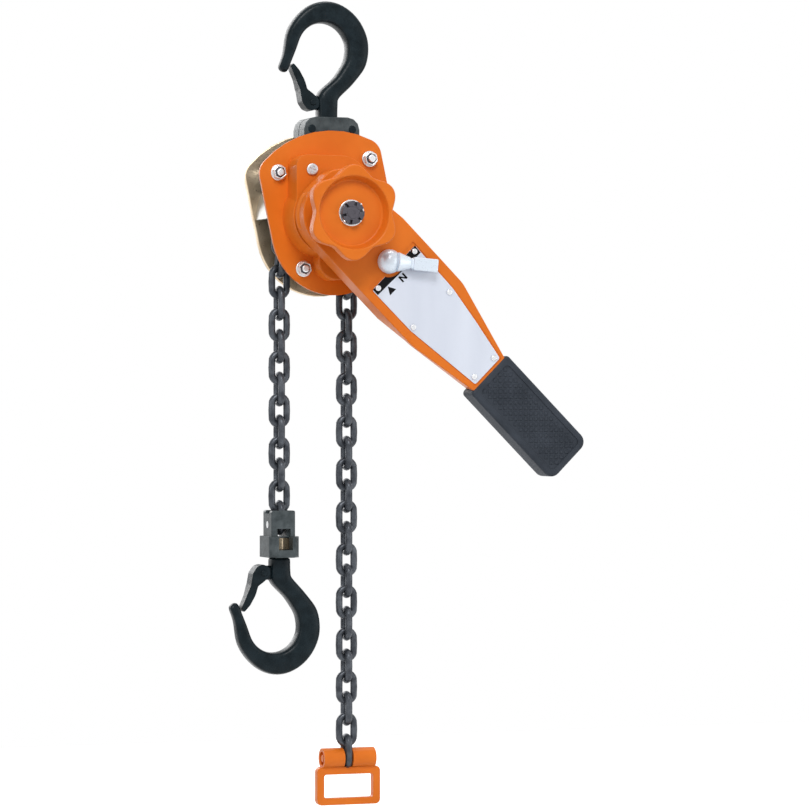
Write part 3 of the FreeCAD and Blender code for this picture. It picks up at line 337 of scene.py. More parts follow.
FINISHES = {
    "orange_enamel": finish("orange_enamel", ((0.70, 0.158, 0.012), (0.76, 0.182, 0.016)), (0.3, 0.4),
                            2.0, 0.012, gloss=0.2),
    "black_enamel": finish("black_enamel", ((0.004, 0.009, 0.012), (0.010, 0.018, 0.023)), (0.22, 0.4),
                           2.2, 0.10, drift_mm=9.0, gloss=0.12),
    "dark_phosphate": finish("dark_phosphate", ((0.034, 0.044, 0.048), (0.080, 0.096, 0.102)), (0.3, 0.45),
                             1.8, 0.06, drift_mm=8.0, gloss=0.22),
    "yellow_zinc": finish("yellow_zinc", ((0.60, 0.46, 0.30), (0.76, 0.62, 0.44)), (0.26, 0.44),
                          1.2, 0.02, drift_mm=14.0, metallic=0.85),
    "bright_zinc": finish("bright_zinc", ((0.60, 0.61, 0.63), (0.74, 0.75, 0.76)), (0.22, 0.36),
                          0.8, 0.012, metallic=0.9),
    "knob_zinc": finish("knob_zinc", ((0.68, 0.76, 0.85), (0.74, 0.82, 0.90)), (0.25, 0.38),
                        0.9, 0.008, metallic=0.25),
    "chain_steel": finish("chain_steel", ((0.032, 0.037, 0.046), (0.085, 0.095, 0.110)), (0.26, 0.45),
                          1.4, 0.04, drift_mm=7.0, metallic=0.4, gloss=0.35),
    "machined_steel": finish("machined_steel", ((0.30, 0.30, 0.30), (0.42, 0.42, 0.41)), (0.28, 0.45),
                             0.7, 0.01, metallic=0.95),
    # painted shade: a dark colour for the shaded front of the bright zinc castle nut, the shaft seen through
    # its slots and the gaps round the stay studs
    "dark_steel": finish("dark_steel", ((0.040, 0.037, 0.046), (0.075, 0.070, 0.084)), (0.3, 0.5),
                         0.9, 0.03, metallic=0.5),
    "black_rubber": finish("black_rubber", ((0.024, 0.030, 0.040), (0.038, 0.046, 0.060)), (0.5, 0.68),
                           0.6, 0.03, drift_mm=22.0, gloss=0.2),
    "plate_silver": finish("plate_silver", ((0.60, 0.64, 0.73), (0.67, 0.71, 0.80)), (0.3, 0.42),
                           0.5, 0.004, metallic=0.25, stretch=(1.0, 1.0, 0.15)),
    "plate_ink": finish("plate_ink", ((0.004, 0.004, 0.005), (0.008, 0.008, 0.009)), (0.6, 0.7),
                        0.6, 0.003, gloss=0.1),
    "friction_lining": finish("friction_lining", ((0.10, 0.075, 0.05), (0.17, 0.125, 0.09)), (0.7, 0.85),
                              0.8, 0.05, drift_mm=4.0),
}
print(len(FINISHES), "finishes made")

# %% Give every CAD node the finish of its slot
for entry in frame["record"]["subparts"]:
    node = frame["nodes"][entry["node"]]
    node.data.materials.clear()
    # the drive shaft is painted dark, so that its end shows as painted shade in the castle nut's slots
    shaft_painted_shade = entry["node"] == "drive_shaft"
    node.data.materials.append(FINISHES["dark_steel" if shaft_painted_shade else entry["material_slot"]])
    only(node)
    bpy.ops.object.shade_smooth_by_angle(angle=math.radians(30))

# %% [markdown]
# ## How a piece joins the hoist
# A finished piece is merged, its faces are turned outwards, it gets its finish, and it rides on the
# body that carries it. Where it stands for a CAD node, that node is hidden.

# %% Handing a piece over


def hand_over(piece, name, body, slot, nodes=(), smooth=35, finish_name=None, flats=True):
    """Merge, smooth and name a piece. Weighted normals keep its flats flat beside rounded edges."""
    only(piece)
    edit(piece)
    bpy.ops.mesh.remove_doubles(threshold=2e-6)
    bpy.ops.mesh.normals_make_consistent(inside=False)
    leave()
    bpy.ops.object.shade_smooth_by_angle(angle=math.radians(smooth))
    if flats:
        modify(piece, "WEIGHTED_NORMAL", keep_sharp=True, weight=80)
    piece.name = name
    piece.data.name = name
    piece.data.materials.clear()
    piece.data.materials.append(FINISHES[finish_name or slot])
    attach(piece, body)
    if nodes:
        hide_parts(*nodes)
    print(name, len(piece.data.polygons), "faces")
    return piece


def cad_copy(node):
    """A copy of a CAD node, merged from loose triangles into flat faces that a bevel can follow."""
    source = frame["nodes"][node]
    piece = bpy.data.objects.new(node + "_copy", source.data.copy())
    bpy.context.scene.collection.objects.link(piece)
    edit(piece)
    bpy.ops.mesh.remove_doubles(threshold=1e-6)
    bpy.ops.mesh.dissolve_limited(angle_limit=math.radians(0.5))
    leave()
    return piece


def round_edges(piece, test, width, segments=3, sharper_than=25):
    """Bevel only the sharp edges whose middle, in mm, passes the test."""
    limit = math.radians(sharper_than)

    def sharp(edge, middle):
        return len(edge.link_faces) == 2 and edge.calc_face_angle(0.0) > limit and test(middle)

    edit(piece)
    found = pick("EDGE", sharp)
    if found:
        bpy.ops.mesh.bevel(offset=width * MM, segments=segments, affect="EDGES", clamp_overlap=True)
    leave()
    return found


# %% [markdown]
# ## Pressed covers and plates
# The brake cover is drawn from one sheet, so its drum has a round rim, a soft foot where it meets
# the flange, and a softened outline. The copy of the CAD solid gets these radii edge by edge. The
# other plates and castings get one small radius on every sharp edge.

# %% Brake cover
DRUM_FRONT = -45.0
LOBE_FRONT = -38.0
FLANGE_FRONT = -22.0
DRUM_HOLE = 24.0
FOOT_FROM = 27.0
FOOT_TO = 46.0
LEVEL_SLACK = 0.3


def at_level(middle, level):
    """True where a point, in mm, lies at this depth."""
    return abs(middle.y - level) < LEVEL_SLACK


def from_drive(middle):
    """How far a point, in mm, lies from the drive axis."""
    return (middle - DRIVE_AXIS / MM).xz.length


cover = cad_copy("brake_cover")
counts = [
    round_edges(cover, lambda m: at_level(m, DRUM_FRONT) and from_drive(m) > DRUM_HOLE, 4.2, 5),
    round_edges(cover, lambda m: at_level(m, LOBE_FRONT), 3.4, 4),
    round_edges(cover, lambda m: at_level(m, FLANGE_FRONT) and FOOT_FROM < from_drive(m) < FOOT_TO, 3.2, 4),
    round_edges(cover, lambda m: at_level(m, FLANGE_FRONT) and from_drive(m) >= FOOT_TO, 0.9, 3),
]
print("brake cover edges rounded:", counts)
hand_over(cover, "brake_cover_pressing", "body", "orange_enamel", ["brake_cover"], smooth=40)

# %% Plates, gear cover, yokes, block, hook nut, stays and chain guides
BLOCK_MIDDLE = -35.6
BLOCK_EDGES_FROM = (9.2, 8.2)
SOFTENED = (
    ("gear_cover", "body", "orange_enamel", 1.2),
    ("brake_side_plate", "body", "black_enamel", 0.4),
    ("gear_side_plate", "body", "yellow_zinc", 0.7),
    ("top_yoke_front", "yoke", "black_enamel", 1.6),
    ("top_yoke_rear", "yoke", "black_enamel", 1.6),
    ("bottom_yoke", "bottom_block", "black_enamel", 0.7),
    ("bottom_hook_nut", "bottom_hook", "yellow_zinc", 0.4),
    ("stay_bolts", "body", "bright_zinc", 0.4),
    ("chain_guides", "body", "machined_steel", 0.5),
    ("chain_stripper", "body", "machined_steel", 0.4),
)
for node, body, slot, width in SOFTENED:
    piece = cad_copy(node)
    if node == "bottom_yoke":
        across, deep = BLOCK_EDGES_FROM
        round_edges(piece, lambda m: abs(m.x - BLOCK_MIDDLE) > across and abs(m.y) > deep, 2.8, 5)
    soften(piece, width, segments=3)
    phosphate = "dark_phosphate" if "yoke" in node else None
    hand_over(piece, node + "_rounded", body, slot, [node], finish_name=phosphate)

# %% [markdown]
# ## Hooks
# A forged hook swells from the tip to the bowl and runs into a straight shank. It is drawn out like
# clay: a square with cut corners at the tip is extruded station by station, and each new ring is
# turned, widened and moved to the place measured there. Subdivision then makes the forging smooth.

# %% One hook, drawn out from its tip
BOWL = 20.5
TIP_STATIONS = ((-30.0, 19.8, -33.4, 19.6, 4.6), (-28.2, 16.4, -36.2, 16.2, 8.2),
                (-26.6, 12.2, -35.0, 12.0, 9.2), (-23.9, 5.4, -32.6, 5.2, 10.6),
                (-21.2, -1.5, -31.4, -1.8, 11.8))
BOWL_STATIONS = ((202, 32.0, 12.8), (220, 32.6, 14.0), (240, 34.4, 15.4), (260, 37.2, 16.4),
                 (280, 38.8, 17.0), (300, 38.9, 17.0), (320, 38.8, 17.0), (340, 38.7, 17.0),
                 (358, 38.7, 17.0))
NECK_STATIONS = ((19.0, 9.0, 36.6, 12.6, 16.8), (14.4, 16.6, 30.6, 21.4, 16.4), (8.6, 25.0, 23.2, 30.4, 16.2))
SHOULDER = (-7.2, 34.5, 9.6, 39.0, 16.2)
EAR_MIDDLE = (-6.6, 0.0, 43.2)
EAR_SIZE = (16.0, 8.0, 11.4)
CORNER_SHARE = 0.24


def station(inner_x, inner_z, outer_x, outer_z, thick):
    """Middle, angle across the section, width and thickness of one ring, in mm and degrees."""
    across = math.degrees(math.atan2(outer_z - inner_z, outer_x - inner_x))
    width = math.hypot(outer_x - inner_x, outer_z - inner_z)
    middle = Vector(((inner_x + outer_x) / 2, 0.0, (inner_z + outer_z) / 2))
    return middle, across, width, thick


def through(rows):
    """Push each row of numbers out, so that the smoothed bar passes through the measured ones."""
    pushed = [rows[0]]
    for before, here, after in zip(rows, rows[1:], rows[2:]):
        pushed.append(tuple(h + (h - (b + a) / 2) / 3 for b, h, a in zip(before, here, after)))
    return pushed + [rows[-1]]


def drawn_bar(stations):
    """Extrude a square with cut corners through stations, then smooth it."""
    middle, across, width, thick = stations[0]
    bpy.ops.mesh.primitive_plane_add(size=MM)
    bar = bpy.context.object
    edit(bar)
    bpy.ops.mesh.bevel(offset=CORNER_SHARE * MM, segments=2, affect="VERTICES")
    bpy.ops.mesh.select_all(action="SELECT")
    bpy.ops.transform.resize(value=(width, thick, 1.0), center_override=(0.0, 0.0, 0.0))
    bpy.ops.transform.rotate(value=math.radians(across), orient_axis="Y", center_override=(0.0, 0.0, 0.0))
    bpy.ops.transform.translate(value=middle * MM)
    for here, there in zip(stations, stations[1:]):
        bpy.ops.mesh.extrude_region_move()
        centre = here[0] * MM
        bpy.ops.transform.rotate(value=math.radians(-here[1]), orient_axis="Y", center_override=centre)
        bpy.ops.transform.resize(value=(there[2] / here[2], there[3] / here[3], 1.0), center_override=centre)
        bpy.ops.transform.rotate(value=math.radians(there[1]), orient_axis="Y", center_override=centre)
        bpy.ops.transform.translate(value=(there[0] - here[0]) * MM)
    leave()
    modify(bar, "SUBSURF", levels=2, render_levels=2)
    return bar


def forged_hook(shank_x, shank_rows):
    """The hook about its bowl, standing upright, with the ear that carries the latch."""
    rows = list(TIP_STATIONS)
    for angle, outer, thick in BOWL_STATIONS:
        a = math.radians(angle)
        rows.append((BOWL * math.cos(a), BOWL * math.sin(a), outer * math.cos(a), outer * math.sin(a), thick))
    rows += NECK_STATIONS
    inner_x, inner_z, outer_x, outer_z, thick = SHOULDER
    rows.append((shank_x + inner_x, inner_z, shank_x + outer_x, outer_z, thick))
    for height, radius in shank_rows:
        rows.append((shank_x - radius, height, shank_x + radius, height, 2 * radius))
    stations = [station(*values) for values in through(rows)]
    for i in range(1, len(stations)):
        middle, across, width, thick = stations[i]
        while across - stations[i - 1][1] > 180:
            across -= 360
        while across - stations[i - 1][1] < -180:
            across += 360
        stations[i] = (middle, across, width, thick)
    bar = drawn_bar(stations)
    ear = box(EAR_MIDDLE, EAR_SIZE)
    soften(ear, 3.0, 4)
    return join([bar, ear])


def hang(piece, bowl, upside_down):
    """Put a piece that was made about its bowl in place, turned over for the top hook."""
    only(piece)
    piece.rotation_euler = (math.pi if upside_down else 0.0, 0.0, 0.0)
    piece.location = bowl
    bpy.ops.object.transform_apply(location=True, rotation=True, scale=True)


TOP_BOWL = Vector((0.0, 0.0, -BOWL)) * MM
BOTTOM_BOWL = Vector((-41.2, 0.0, -482.86)) * MM
SHANK = 8.1
TOP_SHANK_X = 4.2
BOTTOM_SHANK_X = 5.6
TOP_SHANK = ((43.5, SHANK + 0.4), (50.0, SHANK), (62.0, SHANK), (66.5, SHANK), (68.0, SHANK))
BOTTOM_SHANK = ((42.5, SHANK + 0.4), (48.0, SHANK), (53.0, SHANK), (54.6, SHANK - 0.6), (55.4, 6.4),
                (62.0, 6.3), (67.0, 6.3))
for name, body, shank_x, shank_rows, bowl, upside_down in (
        ("top_hook", "hook", TOP_SHANK_X, TOP_SHANK, TOP_BOWL, True),
        ("bottom_hook", "bottom_hook", BOTTOM_SHANK_X, BOTTOM_SHANK, BOTTOM_BOWL, False)):
    hook = forged_hook(shank_x, shank_rows)
    hang(hook, bowl, upside_down)
    hand_over(hook, name + "_forging", body, "black_enamel", [name], smooth=60, flats=False)

# %% [markdown]
# Each latch is pressed from sheet: a web faces out and two cheeks go round the hook's ear. Its side
# view is cut as one block, the block is hollowed, and a riveted pin with domed heads holds it.

# %% Flat outline to solid piece


def outline_slab(corners, y_front, y_back, corner_radius=0.0):
    """A flat piece: a disc's points are dragged to the corners, then it is given its thickness."""
    bpy.ops.mesh.primitive_circle_add(vertices=len(corners), radius=MM, fill_type="NGON",
                                      rotation=(math.radians(90), 0.0, 0.0))
    slab = bpy.context.object
    bpy.ops.object.transform_apply(location=False, rotation=True, scale=False)
    for vertex, (x, z) in zip(slab.data.vertices, corners):
        vertex.co = Vector((x, y_back, z)) * MM
    edit(slab)
    if corner_radius:
        bpy.ops.mesh.bevel(offset=corner_radius * MM, segments=3, affect="VERTICES")
        bpy.ops.mesh.select_all(action="SELECT")
    bpy.ops.mesh.extrude_region_move(TRANSFORM_OT_translate={"value": (0.0, (y_front - y_back) * MM, 0.0)})
    bpy.ops.mesh.select_all(action="SELECT")
    bpy.ops.mesh.normals_make_consistent(inside=False)
    leave()
    return slab


def rivet(radius, half_length, dome):
    """A bar along Y with domed ends."""
    bar = rod(2 * half_length, radius, 0.0, 24)
    soften(bar, dome, 4, 60)
    return bar


# %% Two latches with their rivets
LATCH_HALF = 6.6
LATCH_SHEET = 1.6
LATCH_NARROW = 0.72
LATCH_NARROW_BELOW = 29.0
LATCH_PIN_AT = spot(-9.2, 43.2)
LATCH_SIDE = ((-3.6, 41.6), (-4.6, 47.6), (-9.8, 50.2), (-14.6, 48.6), (-18.2, 43.4), (-19.9, 34.0),
              (-23.0, 25.0), (-26.6, 17.0), (-26.8, 14.0), (-25.0, 12.2), (-20.0, 17.6), (-15.6, 25.4),
              (-14.2, 32.6), (-8.6, 36.6))
LATCH_HOLLOW = ((-2.0, 41.0), (-2.0, 52.0), (-9.4, 48.4), (-13.6, 47.0), (-17.0, 42.6), (-19.0, 34.6),
                (-22.0, 24.6), (-25.0, 14.6), (-24.0, 9.0), (-18.0, 15.6), (-12.6, 24.4), (-11.0, 31.0),
                (-6.0, 34.0))
for name, pin_body, bowl, upside_down in (("top_latch", "hook", TOP_BOWL, True),
                                          ("bottom_latch", "bottom_hook", BOTTOM_BOWL, False)):
    latch = outline_slab(LATCH_SIDE, -LATCH_HALF, LATCH_HALF, 1.2)
    inner_half = LATCH_HALF - LATCH_SHEET
    carve(latch, outline_slab(LATCH_HOLLOW, -inner_half, inner_half))
    edit(latch)
    pick("VERT", lambda v, m: m.z < LATCH_NARROW_BELOW)
    bpy.ops.transform.resize(value=(1.0, LATCH_NARROW, 1.0), center_override=(0.0, 0.0, 0.0))
    leave()
    soften(latch, 0.5, 3, 40)
    pin = place(rivet(2.6, 7.7, 1.0), at=LATCH_PIN_AT)
    hang(latch, bowl, upside_down)
    hang(pin, bowl, upside_down)
    hand_over(latch, name + "_pressing", name, "black_enamel", [name])
    hand_over(pin, name + "_rivet", pin_body, "bright_zinc", [name + "_pin"], finish_name="black_enamel")

# %% Heads of the yoke's bolts
YOKE_BOLT_HALF = 17.0
YOKE_BOLT_Z = -85.5
bolts = []
for x in (TOP_SHANK_X - YOKE_BOLT_HALF, TOP_SHANK_X + YOKE_BOLT_HALF):
    bolts.append(place(rivet(3.4, 14.9, 0.9), at=spot(x, YOKE_BOLT_Z)))
hand_over(join(bolts), "yoke_bolt_heads", "yoke", "bright_zinc", ["yoke_bolts"], finish_name="black_enamel")

# %% [markdown]
# ## Load chain
# A link is a round bar bent to a loop and welded on one side. One link is made from a ring that is
# pulled apart into two straight arms. The CAD solids of each strand are then read one by one: the
# longest way across a solid is the link's length, the shortest is its thickness.

# %% One link
WIRE = 5.6
LINK_WIDTH = 18.1
LINK_LENGTH = 28.3
WELD_SWELL = 1.02
bpy.ops.mesh.primitive_torus_add(major_segments=24, minor_segments=12,
                                 major_radius=(LINK_WIDTH - WIRE) / 2 * MM, minor_radius=WIRE / 2 * MM)
link = bpy.context.object
edit(link)
arm = (LINK_LENGTH - LINK_WIDTH) / 2
pick("VERT", lambda v, m: m.y > 0.1)
bpy.ops.transform.translate(value=(0.0, arm * MM, 0.0))
pick("VERT", lambda v, m: m.y < -0.1)
bpy.ops.transform.translate(value=(0.0, -arm * MM, 0.0))
pick("VERT", lambda v, m: abs(m.y) < 0.1 and m.x > 0)
weld_centre = ((LINK_WIDTH - WIRE) / 2 * MM, 0.0, 0.0)
bpy.ops.transform.resize(value=(WELD_SWELL, 1.0, WELD_SWELL), center_override=weld_centre)
leave()
print("one link has", len(link.data.polygons), "faces")

# %% Put a link at each CAD link


def link_frames(node):
    """Where each separate solid of a node lies: a matrix whose Y runs along the link."""
    piece = cad_copy(node)
    edit(piece)
    bpy.ops.mesh.separate(type="LOOSE")
    leave()
    frames = []
    for part in list(bpy.context.selected_objects):
        points = np.array([v.co for v in part.data.vertices])
        axes = np.linalg.eigh(np.cov((points - points.mean(0)).T))[1]
        wide = Vector(axes[:, 1])
        long = Vector(axes[:, 2])
        if long.z < 0:
            long = -long
        matrix = Matrix((wide, long, wide.cross(long))).transposed().to_4x4()
        along = points @ axes
        matrix.translation = Vector(axes @ ((along.max(0) + along.min(0)) / 2))
        frames.append(matrix)
        bpy.data.objects.remove(part)
    return frames


STRANDS = (("wheel_links", "wheel"), ("load_lead_link", "load_lead"), ("load_chain", "load_strand"),
           ("slack_lead_link", "slack_lead"), ("slack_chain", "slack_strand"))
for node, body in STRANDS:
    copies = []
    for matrix in link_frames(node):
        copy = bpy.data.objects.new("link", link.data.copy())
        copy.data.transform(matrix)
        bpy.context.scene.collection.objects.link(copy)
        copies.append(copy)
    strand = join(copies) if len(copies) > 1 else only(copies[0])
    hand_over(strand, node + "_round", body, "chain_steel", [node], smooth=60, flats=False)
bpy.data.objects.remove(link)

# %% [markdown]
# ## Hand wheel
# The wheel is a casting with six broad lobes for the fingers, a thick rim and a deep dish with the
# nut in it. A ring of points is pushed out into lobes, extruded to the rim's depth, and bridged
# ring by ring to the dish in front and to the hub behind. Wide bevels make the cast edges.

# %% Lobed rim and dish
LOBES = 6
POINTS_PER_LOBE = 14
LOBE_TIP = 37.4
LOBE_VALLEY = 31.2
LOBE_TURN = 30.0
LOBE_BREADTH = 0.9
WHEEL_FRONT = -102.0
WHEEL_BACK = -91.5
DISH_FLOOR = -93.0
HUB_BACK = -78.0
wheel_points = LOBES * POINTS_PER_LOBE
bpy.ops.mesh.primitive_circle_add(vertices=wheel_points, radius=LOBE_VALLEY * MM, fill_type="NOTHING",
                                  rotation=(math.radians(90), 0.0, 0.0))
hand_wheel = bpy.context.object
bpy.ops.object.transform_apply(location=False, rotation=True, scale=False)
first_angle = math.degrees(math.atan2(hand_wheel.data.vertices[0].co.z, hand_wheel.data.vertices[0].co.x))
edit(hand_wheel)
for step in range(POINTS_PER_LOBE):
    swell = (0.5 + 0.5 * math.cos(2 * math.pi * step / POINTS_PER_LOBE)) ** LOBE_BREADTH
    factor = 1.0 + (LOBE_TIP / LOBE_VALLEY - 1.0) * swell
    pick("VERT", lambda v, m: (v.index - step) % POINTS_PER_LOBE == 0)
    bpy.ops.transform.resize(value=(factor, 1.0, factor), center_override=(0.0, 0.0, 0.0))
bpy.ops.mesh.select_all(action="SELECT")
rim_depth = (WHEEL_FRONT - WHEEL_BACK) * MM
bpy.ops.mesh.extrude_region_move(TRANSFORM_OT_translate={"value": (0.0, rim_depth, 0.0)})
leave()
place(hand_wheel, at=spot(0.0, 0.0, WHEEL_BACK))


def bridged_ring(wheel, radius, y, to_y):
    """Add a circle inside the wheel and bridge it to the open edge at the given depth."""
    bpy.ops.mesh.primitive_circle_add(vertices=wheel_points, radius=radius * MM, fill_type="NOTHING",
                                      rotation=(math.radians(90), 0.0, 0.0), location=(0.0, y * MM, 0.0))
    ring = bpy.context.object
    bpy.ops.object.transform_apply(location=True, rotation=True, scale=False)
    wheel = join([wheel, ring])
    edit(wheel)
    pick("EDGE", lambda e, m: e.is_boundary and (abs(m.y - y) < 0.01 or abs(m.y - to_y) < 0.01)
         or e.is_wire and abs(m.y - y) < 0.01)
    bpy.ops.mesh.bridge_edge_loops()
    leave()
    return wheel


open_edge = WHEEL_FRONT
for radius, y in ((28.6, WHEEL_FRONT - 0.06), (26.0, DISH_FLOOR), (8.9, DISH_FLOOR - 0.6),
                  (8.6, HUB_BACK + 0.2), (15.0, HUB_BACK), (18.0, WHEEL_BACK - 0.06)):
    hand_wheel = bridged_ring(hand_wheel, radius, y, open_edge)
    open_edge = y
edit(hand_wheel)
pick("EDGE", lambda e, m: e.is_boundary)
bpy.ops.mesh.bridge_edge_loops()
leave()
soften(hand_wheel, 2.2, 5, 40)
place(hand_wheel, LOBE_TURN - first_angle)
hand_over(hand_wheel, "hand_wheel_casting", "drive", "orange_enamel", ["hand_wheel"], smooth=50)

# %% [markdown]
# The castle nut has six slots, and a split pin goes through it so that it can't turn.

# %% Castle nut and split pin
NUT_TURN = 15.0
NUT_FRONT = -99.0
NUT_DEPTH = 9.0
SLOT_SIZE = (24.0, 7.0, 2.0)
PIN_TURN = NUT_TURN + 120

# the whole nut is painted dark as painted shade of its front; the washer behind it shows the nut's own bright
# zinc
nut = rod(NUT_DEPTH, 9.2, NUT_FRONT + NUT_DEPTH / 2)
for i in range(3):
    carve(nut, box((0.0, NUT_FRONT, 0.0), SLOT_SIZE, 60 * i))
carve(nut, rod(20.0, 4.9, NUT_FRONT))
soften(nut, 0.5, 2, 40)
place(nut, NUT_TURN)
hand_over(nut, "castle_nut_slotted", "drive", "dark_steel", ["castle_nut"])

# the shaft end gets the same dark colour: painted shade on the nut's front
shaft_end = rod(1.6, 4.8, NUT_FRONT + 1.0)
edit(shaft_end)
pick("FACE", lambda f, m: f.normal.y < -0.9)
bpy.ops.mesh.inset(thickness=3.2 * MM)
bpy.ops.mesh.inset(thickness=0.5 * MM, depth=-1.4 * MM)
leave()
soften(shaft_end, 0.2, 2, 80)
place(shaft_end)
hand_over(shaft_end, "shaft_end", "drive", "dark_steel")

collar = rod(1.2, 10.4, DISH_FLOOR - 1.0)
soften(collar, 0.4, 3, 40)
place(collar)
hand_over(collar, "nut_washer", "drive", "bright_zinc")

bpy.ops.mesh.primitive_cylinder_add(vertices=16, radius=1.1 * MM, depth=20.4 * MM)
pin = bpy.context.object
soften(pin, 0.4, 3, 60)
place(pin, PIN_TURN, DRIVE_AXIS + spot(0.0, 0.0, NUT_FRONT + 2.0))
hand_over(pin, "split_pin_bar", "drive", "bright_zinc", ["split_pin"])

# %% [markdown]
# ## Nuts on the stays
# Four flanged nuts hold the plates together, and the ends of the stay bolts stand out of them. Each
# one is made at the origin and moved to its place, and the four then turn with the tilted body. The
# dark ring round each stud is painted shade: a thin dark disc fills the gap between stud and nut.

# %% Flanged nuts
STAY_PLACES = ((-28.4, 41.6), (49.0, 37.9), (-23.8, -37.1), (42.0, -38.0))
NUT_FACE = -22.0
nuts = []
gaps = []
for x, z in STAY_PLACES:
    washer = rod(1.6, 6.4, NUT_FACE - 0.8)
    soften(washer, 0.5, 3, 40)
    flats = rod(4.4, 5.7, NUT_FACE - 3.6, 6)
    edit(flats)
    pick("FACE", lambda f, m: f.normal.y < -0.9)
    bpy.ops.mesh.inset(thickness=1.0 * MM)
    bpy.ops.mesh.inset(thickness=0.4 * MM, depth=-1.4 * MM)
    leave()
    soften(flats, 0.35, 3, 30)
    stud = rod(9.4, 3.0, NUT_FACE - 3.4, 24)
    soften(stud, 0.9, 3, 40)
    # painted shade: a thin dark disc in the nut's recess round the stud
    gap = rod(0.4, 4.2, NUT_FACE - 4.8, 24)
    soften(gap, 0.1, 1, 40)
    nuts.append(place(join([flats, washer, stud]), at=spot(x, z)))
    gaps.append(place(gap, at=spot(x, z)))
nut_set = place(join(nuts), BODY_TILT)
hand_over(nut_set, "flanged_nuts", "body", "bright_zinc", ["stay_nuts"])
gap_set = place(join(gaps), BODY_TILT)
hand_over(gap_set, "nut_gap_painted_shade", "body", "dark_steel")

# %% Screw of the brake cover
SCREW_AT = spot(-23.03, -120.09)
SCREW_FRONT = -46.9
SCREW_DEPTH = 1.9
CROSS_TURN = 20
screw = rod(SCREW_DEPTH, 4.7, SCREW_FRONT + SCREW_DEPTH / 2, 32)
soften(screw, 1.0, 4, 40)
for turn in (0, 90):
    carve(screw, box((0.0, SCREW_FRONT, 0.0), (5.6, 2.2, 1.3), turn + CROSS_TURN))
place(screw, 0.0, SCREW_AT)
hand_over(screw, "cover_screw_head", "body", "bright_zinc", ["cover_screw"])

# %% [markdown]
# ## Lever
# The lever is two pressings that meet in the middle. Their outer edges are wide and round, as a
# press leaves them, and the joint between them stays a fine line. The walls draw in a little towards
# the back, so each level of points is made narrower about the lever's own axis. The head keeps its
# width, because the change pawl needs that room inside.

# %% Lever shells
SHELL_FRONT = -68.5
SHELL_BACK = -47.5
BACK_NARROWER = 0.14
PAWL_ROOM = 84.0
LEVER_MIDDLE = Vector((60.0, 0.0, -225.0))


def outward(edge, middle):
    """True where the faces beside an edge look away from the lever's middle line."""
    side = max(edge.link_faces, key=lambda f: 1.0 - abs(f.normal.y))
    return side.normal.dot(middle - LEVER_MIDDLE) > 0


for node, depth in (("lever_front_shell", SHELL_FRONT), ("lever_rear_shell", SHELL_BACK)):
    shell = cad_copy(node)
    edit(shell)
    found = pick("EDGE", lambda e, m: len(e.link_faces) == 2 and e.calc_face_angle(0.0) > 0.5
                 and abs(m.y - depth) < 0.05 and outward(e, m))
    bpy.ops.mesh.bevel(offset=2.6 * MM, segments=4, affect="EDGES", clamp_overlap=True)
    leave()
    place(shell, at=-DRIVE_AXIS)
    place(shell, -LEVER_TURN, Vector())
    levels = sorted({round(v.co.y / MM, 2) for v in shell.data.vertices})
    edit(shell)
    bpy.ops.mesh.bisect(plane_co=(PAWL_ROOM * MM, 0.0, 0.0), plane_no=(1.0, 0.0, 0.0))
    for level in levels:
        narrow = 1.0 - BACK_NARROWER * (level - SHELL_FRONT) / (SHELL_BACK - SHELL_FRONT)
        pick("VERT", lambda v, m: m.x > PAWL_ROOM + 0.5 and round(v.co.y / MM, 2) == level)
        bpy.ops.transform.resize(value=(1.0, 1.0, narrow), center_override=(0.0, 0.0, 0.0))
    leave()
    place(shell, LEVER_TURN)
    print(node, found, "edges rounded,", len(levels), "levels drawn in")
    hand_over(shell, node + "_pressing", "lever", "orange_enamel", [node], smooth=40)

# %% [markdown]
# ## Name plate
# A thin bright plate lies in the lever's tray. It stays bare, apart from a black band at the top and
# the marks that the knob points to: a triangle for up, N for neutral and a triangle for down. Six
# rivets hold it.

# %% Plate, band and marks
PLATE_BACK = -67.6
PLATE_FRONT = -68.2
PLATE = ((60.4, -23.2), (105.6, -22.9), (174.2, -14.0), (174.2, 15.6), (139.0, 21.7),
         (107.0, 26.3), (60.4, 27.4))
KNOB_AT = spot(54.0, 2.5)
KNOB_ROOM = 12.4
MARK_LIFT = 0.06
MARK_SUNK = 0.1


def cut_for_knob(piece):
    """Cut the round room for the knob out of a flat piece."""
    carve(piece, place(rod(6.0, KNOB_ROOM, PLATE_FRONT, 64), at=KNOB_AT))


def mark(corners):
    """A flat mark that stands a little out of the plate."""
    return outline_slab(corners, PLATE_FRONT - MARK_LIFT, PLATE_FRONT + MARK_SUNK)


sheet = outline_slab(PLATE, PLATE_FRONT, PLATE_BACK, 1.6)
cut_for_knob(sheet)
soften(sheet, 0.15, 2, 40)
place(sheet, LEVER_TURN)
hand_over(sheet, "name_plate_sheet", "lever", "plate_silver", ["name_plate"])

band = mark(((60.5, -22.6), (66.4, -22.6), (67.8, 26.8), (60.5, 27.2)))
cut_for_knob(band)
marks = [band]
TRIANGLE_HALF = 3.6
for tip, base, middle in ((67.4, 73.7, -11.9), (75.4, 69.1, 18.8)):
    marks.append(mark(((tip, middle), (base, middle - TRIANGLE_HALF), (base, middle + TRIANGLE_HALF))))
N_AT = (71.3, 2.2)
N_LONG = 2.8
N_WIDE = 2.1
STROKE = 1.45
low_s = N_AT[0] - N_LONG
high_s = N_AT[0] + N_LONG
for start, end in ((-N_WIDE, -N_WIDE), (N_WIDE, N_WIDE), (-N_WIDE, N_WIDE)):
    low_l = N_AT[1] + start
    high_l = N_AT[1] + end
    marks.append(mark(((low_s, low_l - STROKE / 2), (high_s, high_l - STROKE / 2),
                       (high_s, high_l + STROKE / 2), (low_s, low_l + STROKE / 2))))
ink = join(marks)
place(ink, LEVER_TURN)
hand_over(ink, "plate_marks", "lever", "black_enamel", finish_name="plate_ink")

